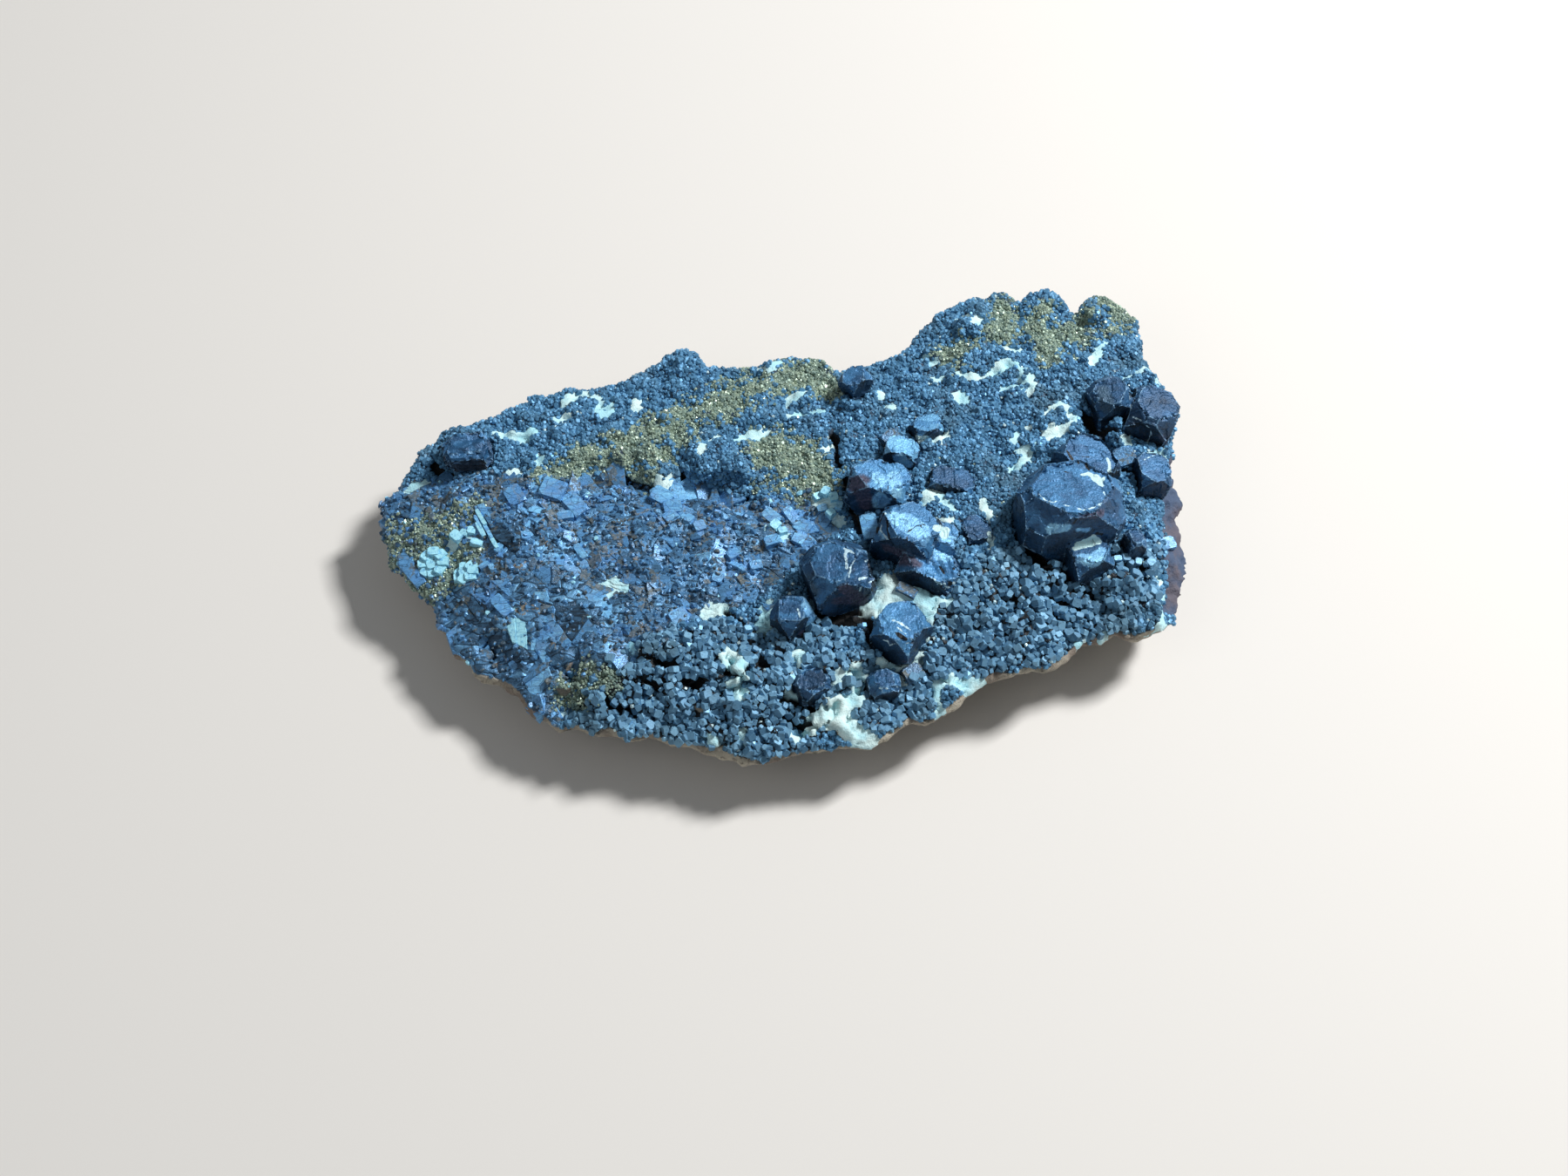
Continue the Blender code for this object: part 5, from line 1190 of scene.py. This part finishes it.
def crust_crystals(rock, crystals):
    """The crust's own small crystals: coarse and fine galena, and pyrite."""
    rng = np.random.default_rng(SEED)
    points, normals, values = sampled(rock, CRUST_TRIES, rng)
    drift = rough(points, 3.0, 12.0, 2)
    jitter = rng.normal(0, 0.25, len(points))
    # Crystals stay off pale and bare rock, the reddish side, gaps and the underside, and in the
    # broken field they grow only with the pyrite
    clear = (values["pale"] + jitter * 0.5 < -0.1) & (values["bare"] < 0.4)
    brassy = values["pyrite"] + jitter * 2 > 0.3
    clear &= ((values["field"] + jitter < 0.1) | brassy) & (values["reddish"] + jitter < 0.0)
    clear &= (normals[:, 2] > -0.15) & (values["gap"] < -0.05)
    mark_buried(points, clear, crystals)
    points, normals, drift, jitter = (v[clear] for v in (points, normals, drift, jitter))
    pyrite = values["pyrite"][clear] + 0.7 + drift * 2.4 + jitter * 3
    pyrite = (pyrite > 0) & (rng.random(len(points)) < 0.86 + 0.1 * pyrite)
    coarse = smooth_step(inside_strokes(points, COARSE_CRUST) + drift * 2, -4, 2)
    crevice = np.abs(rough(points, 3.0, 9.0, 2)) < 0.05 * coarse
    crevice |= np.abs(rough(points, 1.6, 29.0, 2)) < 0.03 * coarse
    points, normals, pyrite, coarse = (v[~crevice] for v in (points, normals, pyrite, coarse))
    sizes = np.where(pyrite, PYRITE_SIZE, GALENA_SIZE + COARSE_SIZE_GAIN * coarse)
    kept = spread(points, sizes * (CRUST_SPACING + COARSE_SPACING_GAIN * coarse))
    points, normals, pyrite, coarse, sizes = (
        v[kept] for v in (points, normals, pyrite, coarse, sizes)
    )
    count = len(points)
    sizes = sizes * rng.uniform(0.7, 1.45, count)
    tones = rng.beta(1.6, 3.2, count)
    # A few grains get tone 1, which their finish paints near white as painted glints
    bright = rng.random(count) < 0.01 + 0.02 * coarse
    tones[bright] = 1.0
    sizes[bright] = PAINTED_GLINT_GRAIN_SIZE
    centres = points + normals * (sizes * (rng.uniform(-0.3, 0.2, count) + 0.12 * coarse))[:, None]
    fine_shape, coarse_shape = cut_cube(), blunt_cube()
    galena = galena_grain_finish("galena_grains", srgb(60, 110, 144), srgb(124, 188, 232))
    dull = galena_grain_finish("dull_galena_grains", srgb(73, 117, 148), srgb(148, 203, 236))
    brass = pyrite_finish()
    side, fine = points[:, 0], ~pyrite & (coarse <= 0.5)
    blunt = rng.random(count) < 0.7
    groups = {
        "coarse_galena_crystals": (~pyrite & (coarse > 0.5) & blunt, coarse_shape, dull),
        "rounded_galena_crystals": (~pyrite & (coarse > 0.5) & ~blunt, fine_shape, dull),
        "left_galena_crystals": (fine & (side < 0), fine_shape, galena),
        "middle_galena_crystals": (fine & (side >= 0) & (side < 22), fine_shape, galena),
        "right_galena_crystals": (fine & (side >= 22), fine_shape, galena),
        "pyrite_crystals": (pyrite, fine_shape, brass),
    }
    for name, (chosen, shape, material) in groups.items():
        thing = many(name, shape, centres[chosen], sizes[chosen], tones[chosen], rng)
        finished(thing, material, "galena_crust")


# Broken galena


def clipped(cell, point, direction):
    """The part of a convex outline that lies behind a line."""
    kept = []
    sides = [(corner - point) @ direction for corner in cell]
    for index, corner in enumerate(cell):
        following = (index + 1) % len(cell)
        if sides[index] <= 0:
            kept.append(corner)
        if (sides[index] < 0) != (sides[following] < 0) and sides[index] != sides[following]:
            share = sides[index] / (sides[index] - sides[following])
            kept.append(corner + (cell[following] - corner) * share)
    return kept


def chipped(cell, rng, step=0.8, depth=0.13):
    """An outline with its long edges broken by small nicks."""
    outline = []
    for start, end in zip(cell, cell[1:] + cell[:1]):
        outline.append(start)
        length = np.linalg.norm(end - start)
        pieces = int(length / step)
        if pieces > 1:
            across = np.array((end[1] - start[1], start[0] - end[0])) / length
            for piece in range(1, pieces):
                share = (piece + rng.uniform(-0.25, 0.25)) / pieces
                nick = across * rng.uniform(-depth, depth * 0.3)
                outline.append(start + (end - start) * share + nick)
    return outline


def on_ground(places):
    """Places seen from above, as points on the ground."""
    return np.c_[places, np.zeros(len(places))]


def along_grain(points):
    """Places seen from above, stretched along the grain of the broken field and turned to it."""
    cos, sin = math.cos(GRAIN), math.sin(GRAIN)
    u, v = points[:, 0] * GRAIN_STRETCH, points[:, 1] / GRAIN_STRETCH
    return np.c_[u * cos - v * sin, u * sin + v * cos]


def plate(outline, plane, rise, lists, tone, rust):
    """A flat-topped fragment with bevelled edges on the plane z = a x + b y + c."""
    points, sizes, corners, tones, rusts = lists
    centre = np.mean(outline, axis=0)
    first = len(points)
    count = len(outline)
    for inset, drop in ((0.1, 0.0), (0.0, 0.1), (0.0, 1.1)):
        for corner in outline:
            away = corner - centre
            length = max(np.linalg.norm(away), 1e-6)
            x, y = corner - away / length * min(inset, length * 0.4)
            points.append((x, y, plane[0] * x + plane[1] * y + plane[2] + rise - drop))
            tones.append(tone)
            rusts.append(rust)
    sizes.append(count)
    corners.extend(range(first, first + count))
    for ring in (0, 1):
        upper, lower = first + ring * count, first + (ring + 1) * count
        for index in range(count):
            following = (index + 1) % count
            sizes.append(4)
            corners.extend((upper + index, lower + index, lower + following, upper + following))
    sizes.append(count)
    corners.extend(reversed(range(first + 2 * count, first + 3 * count)))


def split_plate(cell, centre, plane, rise, lists, tone, rust, rng):
    """A fragment split along or across the grain into steps, each leaning a little its own way."""
    angle = GRAIN + rng.normal(0, 0.4) + (math.pi / 2 if rng.random() < 0.25 else 0)
    across = np.array((-math.sin(angle), math.cos(angle)))
    width = rng.uniform(0.9, 1.8)
    spans = [(corner - centre) @ across for corner in cell]
    low = min(spans)
    while low < max(spans) - 0.1:
        strip = clipped(cell, centre + across * (low + width), across)
        strip = clipped(strip, centre + across * low, -across) if len(strip) > 2 else []
        if len(strip) > 2:
            tilt = rng.normal(0, 0.06)
            middle = centre + across * (low + width / 2)
            leaned = plane + np.array((*(across * tilt), -tilt * (across @ middle)))
            strip_tone = min(1.0, max(0.0, tone + rng.normal(0, 0.08)))
            outline = chipped(strip, rng)
            plate(outline, leaned, rise + rng.normal(0, 0.05), lists, strip_tone, rust)
        low += width * rng.uniform(0.7, 1.3)


def broken_galena(rock):
    """Cleavage fragments packed over the broken field, some split into steps."""
    rng = np.random.default_rng(SEED + 1)
    surface = tree_of(rock)
    limit = np.array((FIELD_REACH, FIELD_REACH))
    tries = rng.uniform(-limit, limit, (FIELD_TRIES, 2))
    places = along_grain(tries)
    inside = inside_loop(places, BROKEN_FIELD) > 0.5
    inside &= inside_strokes(places, PALE_ROCK) < -0.8
    tries, places = tries[inside], places[inside]
    large = smooth_step(inside_strokes(places, LARGE_PLATES), -2, 2)
    spacing = FRAGMENT_SPACING + LARGE_SPACING_GAIN * large
    spacing += 0.5 * rough(on_ground(places), 4.0, 7.0)
    kept = spread(on_ground(tries), np.maximum(spacing, 0.8))
    seeds, places, spacing, large = tries[kept], places[kept], spacing[kept], large[kept]
    tree = KDTree(len(seeds))
    for index, (u, v) in enumerate(seeds):
        tree.insert((u, v, 0.0), index)
    tree.balance()
    bright = inside_strokes(places, BRIGHT_BREAKS)
    dark = inside_strokes(places, DARK_BREAKS)
    brassy = inside_strokes(places, PYRITE)
    stain = inside_strokes(places, STAINS)
    mottle = rough(on_ground(places), 3.5, 33.0)
    lists = ([], [], [], [], [])
    for index, seed in enumerate(seeds):
        if brassy[index] > 0 or rng.random() < 0.1:
            continue
        reach = spacing[index] * 1.3
        cell = [seed + np.array(c) * reach for c in ((-1, -1), (1, -1), (1, 1), (-1, 1))]
        for _, other, _ in tree.find_n((seed[0], seed[1], 0.0), 14):
            if other != index and len(cell) > 2:
                cell = clipped(cell, (seed + seeds[other]) / 2, seeds[other] - seed)
        if len(cell) < 3:
            continue
        cell = list(along_grain(np.array(cell)))
        hits = []
        for x, y in cell + [places[index]]:
            hit, normal = below(surface, x, y)
            if hit and normal.z > 0.3:
                hits.append(tuple(hit))
        if len(hits) < len(cell):
            continue
        lean = rng.normal(0, 0.13 - 0.05 * large[index], 2)
        plane = fitted_plane(np.array(hits)) + np.array((*lean, -(lean @ places[index])))
        tone = 0.28 + 0.36 * rng.beta(1.8, 2.0) + 0.4 * mottle[index] + 0.26 * large[index]
        # Fragments in the bright faces get a high tone: painted reflections
        if bright[index] > -0.2:
            tone = rng.uniform(0.72, 0.89)
        elif dark[index] > -0.2:
            tone = rng.uniform(0.0, 0.15)
        rise = rng.uniform(-0.05, 0.12)
        rust = float(stain[index] + rng.normal(0, 0.6) > 0)
        centre = np.mean(cell, axis=0)
        cell = [corner + (corner - centre) * rng.uniform(0.0, 0.3) for corner in cell]
        if rng.random() < 0.15 + 0.5 * (spacing[index] > 2.5):
            split_plate(cell, centre, plane, rise, lists, tone, rust, rng)
        else:
            plate(chipped(cell, rng), plane, rise, lists, tone, rust)
    thing = new_mesh("cleavage_fragments", np.array(lists[0]), lists[1], lists[2])
    store(thing, "tone", lists[3])
    store(thing, "rust", lists[4])
    finished(thing, cleavage_finish(), "galena_crust")


def broken_chips(rock):
    """Small angular chips in the gaps of the broken field."""
    rng = np.random.default_rng(SEED + 2)
    points, normals, values = sampled(rock, CHIP_TRIES, rng)
    clear = (values["field"] > 0) & (values["bare"] < 0.5) & (values["pale"] < 0)
    clear &= (inside_strokes(points, LARGE_PLATES) < -1) | (rng.random(len(points)) < 0.12)
    clear &= (inside_strokes(points, BRIGHT_BREAKS) < 0) | (rng.random(len(points)) < 0.15)
    points, normals = points[clear], normals[clear]
    kept = spread(points, np.full(len(points), CHIP_SPACING))
    points, normals = points[kept], normals[kept]
    count = len(points)
    sizes = rng.uniform(0.3, 0.7, count)
    tones = 0.1 + 0.6 * rng.beta(1.8, 2.4, count)
    # A few chips get tone 0.95, which their finish paints icy bright as painted glints
    tones[rng.random(count) < 0.02] = 0.95
    centres = points + normals * (sizes * rng.uniform(-0.25, 0.25, count))[:, None]
    thing = many("broken_galena_chips", cut_cube(), centres, sizes, tones, rng, (0.5, 1.3))
    finished(thing, bpy.data.materials["cleavage_galena"], "galena_crust")


def single_crystals(rock, material):
    """Small crystals and cleavage blocks in their own places on the crust."""
    surface = tree_of(rock)
    shape, face_sizes, corners = blunt_cube()
    points, sizes, indices, tones = [], [], [], []
    places = list(SINGLE_CRYSTALS)
    for x, y, radius, petals in ROSETTES:
        places.append((x, y, 1.6, 1.4, 1.1, 20, 3, -4, 0.95, 0.12))
        for petal in range(petals):
            angle = math.tau * petal / petals
            centre = (x + radius * math.cos(angle), y + radius * math.sin(angle))
            turn, tilt_x, tilt_y = petal * 47 % 90, petal * 5 % 9 - 4, petal * 7 % 11 - 5
            places.append((*centre, 1.35, 1.15, 1.2, turn, tilt_x, tilt_y, 0.96, 0.1))
    for x, y, length, width, height, turn, tilt_x, tilt_y, tone, rise in places:
        hit = below(surface, x, y)[0]
        if not hit:
            continue
        spin = Euler([math.radians(a) for a in (tilt_x, tilt_y, turn)]).to_matrix()
        centre = np.array((x, y, hit.z - height * 0.12 + rise))
        indices.extend(len(points) + corner for corner in corners)
        sizes.extend(face_sizes)
        for point in shape * (length, width, height):
            points.append(centre + np.array(spin @ Vector(point)))
            tones.append(tone)
    thing = new_mesh("single_galena_crystals", np.array(points), sizes, indices)
    store(thing, "tone", tones)
    for name in CRYSTAL_MARKS:
        store(thing, name, [-1.0] * len(points))
    finished(thing, material, "galena_crust")


# Standing crystals


def crease_near(point, outline):
    """The nearest place on the edge of a facet, and the distance to it."""
    nearest, crease = 9.0, None
    for start, end in zip(outline, np.roll(outline, -1, axis=0)):
        along = end - start
        share = min(1.0, max(0.0, (point - start) @ along / max(along @ along, 1e-9)))
        gap = np.linalg.norm(point - start - along * share)
        if gap < nearest:
            nearest, crease = gap, start + along * share
    return crease, nearest


def blade_relief(points, blades):
    """How much deeper the grooves between the blades are at each point."""
    centre, reach, across, pitch, relief = blades
    near = 1 - smooth_step(np.linalg.norm(points - centre, axis=1), reach * 0.7, reach)
    wave = (points @ np.array(across) + 0.25 * rough(points, 1.6, 8.0)) / pitch
    return near * relief * np.abs(2 * (wave - np.floor(wave + 0.5)))


def terrace_relief(points, inwards):
    """How much deeper each point on top of the largest crystal lies outside its flat terrace."""
    (x, y), length, width, turn, drop = TERRACE
    cos, sin = math.cos(math.radians(turn)), math.sin(math.radians(turn))
    u, v = points[:, 0] - x, points[:, 1] - y
    shape = np.hypot((u * cos + v * sin) / length, (v * cos - u * sin) / width)
    upward = smooth_step(-inwards[:, 2], 0.6, 0.85)
    return drop * smooth_step(shape + 0.05 * rough(points, 0.8, 4.0), 1.0, 1.06) * upward


def standing_crystal(node, material):
    """A crystal with growth steps on its facets, small chips along its edges and a tone a facet."""
    flat = copy_of(node, node + "_facets")
    surface = tree_of(flat)
    low, high = (np.array(corner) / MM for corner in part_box(node))
    entry = {"low": low - 0.3, "high": high + 0.3, "surface": surface}
    # Each crystal has random numbers of its own, which don't change with the others
    rng = np.random.default_rng([SEED, len(node), int(low[0] * 10) % 997])
    faces = flat.data.polygons
    outlines = [np.array([flat.data.vertices[i].co / MM for i in face.vertices]) for face in faces]
    facet_tones = rng.beta(2.0, 2.6, len(faces)) * 0.75
    # Upper facets are painted lighter as painted light from above, and steep or downward facets at half
    # their tone as painted shade
    for index, face in enumerate(faces):
        if face.normal.z > 0.5:
            facet_tones[index] = UPPER_FACE_PAINTED_LIGHT[node] + rng.uniform(-0.12, 0.12)
        elif face.normal.z < 0.3:
            facet_tones[index] *= 0.5
    thing = copy_of(node, node + "_crystals")
    apply(thing, "REMESH", mode="VOXEL", voxel_size=CRYSTAL_VOXEL * MM, adaptivity=0.0)
    points = points_of(thing)
    tones = np.zeros(len(points))
    edge = np.zeros(len(points))
    flush = points.copy()
    inwards = np.zeros((len(points), 3))
    for index, point in enumerate(points):
        near, normal, face, _ = surface.find_nearest(Vector(point))
        crease, nearest = crease_near(point, outlines[face])
        tones[index] = facet_tones[face]
        edge[index] = nearest
        inwards[index] = -np.array(normal)
        flush[index] = crease if nearest < 0.55 * CRYSTAL_VOXEL else near
    steps = rough(points, 2.6, low[0], 2) * 2.6 + 0.5 * rough(points, 0.9, 3.0)
    steps = np.floor(steps) * 0.1
    chips = smooth_step(rough(points, 0.9, low[1], 2), 0.22, 0.34) * smooth_step(-edge, -0.5, -0.1)
    depth = 0.1 + np.clip(steps, -0.1, 0.2) + 0.25 * chips
    if node in BLADES:
        depth += blade_relief(points, BLADES[node])
    if node == "largest_galena_group":
        depth += terrace_relief(points, inwards)
    move_points(thing, flush + inwards * depth[:, None])
    store(thing, "tone", tones)
    # How near each point is to a facet's edge, which the finish paints as a highlight
    store(thing, "edge", 1 - smooth_step(edge, 0.05, 0.32))
    fray = 0.12 * rough(points, 0.5, 2.0) + 0.1 * rough(points, 1.3, 6.0)
    for name, strokes in CRYSTAL_MARKS.items():
        store(thing, name, np.clip(inside_strokes(points, strokes) + fray, -1, 1))
    bpy.data.objects.remove(flat)
    select_only(thing)
    bpy.ops.object.shade_smooth_by_angle(angle=math.radians(18))
    finished(thing, material, "galena", node)
    return entry


# Stage


def floor():
    """A plain pale surface that the specimen rests on."""
    finish = Finish("pale_floor", Roughness=0.85)
    finish.shader.inputs["Base Color"].default_value = srgb(226, 223, 218)
    bpy.ops.object.select_all(action="DESELECT")
    bpy.ops.mesh.primitive_plane_add(size=FLOOR_SIZE * MM, location=(0, 0, 0))
    ground = bpy.context.object
    ground.name = "floor"
    ground.data.materials.append(finish.material)


def lamp(name, place, size, power):
    """A square soft light at a place in mm, turned to the specimen."""
    light = bpy.data.lights.new(name, "AREA")
    light.size = size * MM
    light.energy = power
    thing = linked(name, light)
    thing.location = Vector(place) * MM
    thing.rotation_euler = (Vector(LAMP_AIM) - Vector(place)).to_track_quat("-Z", "Y").to_euler()


def studio():
    floor()
    world = bpy.data.worlds.new("studio")
    world.use_nodes = True
    world.node_tree.nodes["Background"].inputs["Color"].default_value = SKY_COLOUR
    world.node_tree.nodes["Background"].inputs["Strength"].default_value = SKY_STRENGTH
    bpy.context.scene.world = world
    for settings in LAMPS:
        lamp(*settings)


def camera():
    tilt = math.radians(CAMERA_ELEVATION)
    target = Vector(CAMERA_TARGET)
    data = bpy.data.cameras.new("camera")
    data.lens = CAMERA_LENS
    data.sensor_width = CAMERA_SENSOR
    data.clip_start = 0.01
    thing = linked("camera", data)
    thing.location = (target + Vector((0, -math.cos(tilt), math.sin(tilt))) * CAMERA_DISTANCE) * MM
    thing.rotation_euler = (math.pi / 2 - tilt, 0, 0)
    bpy.context.scene.camera = thing


def main():
    bpy.context.scene.view_settings.view_transform = "Standard"
    crystal_nodes = sorted(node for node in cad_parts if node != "matrix")
    rock = crusted_rock(crystal_nodes)
    material = crystal_finish()
    crystals = [standing_crystal(node, material) for node in crystal_nodes]
    broken_galena(rock)
    broken_chips(rock)
    single_crystals(rock, bpy.data.materials["cleavage_galena"])
    crust_crystals(rock, crystals)
    studio()
    camera()


main()
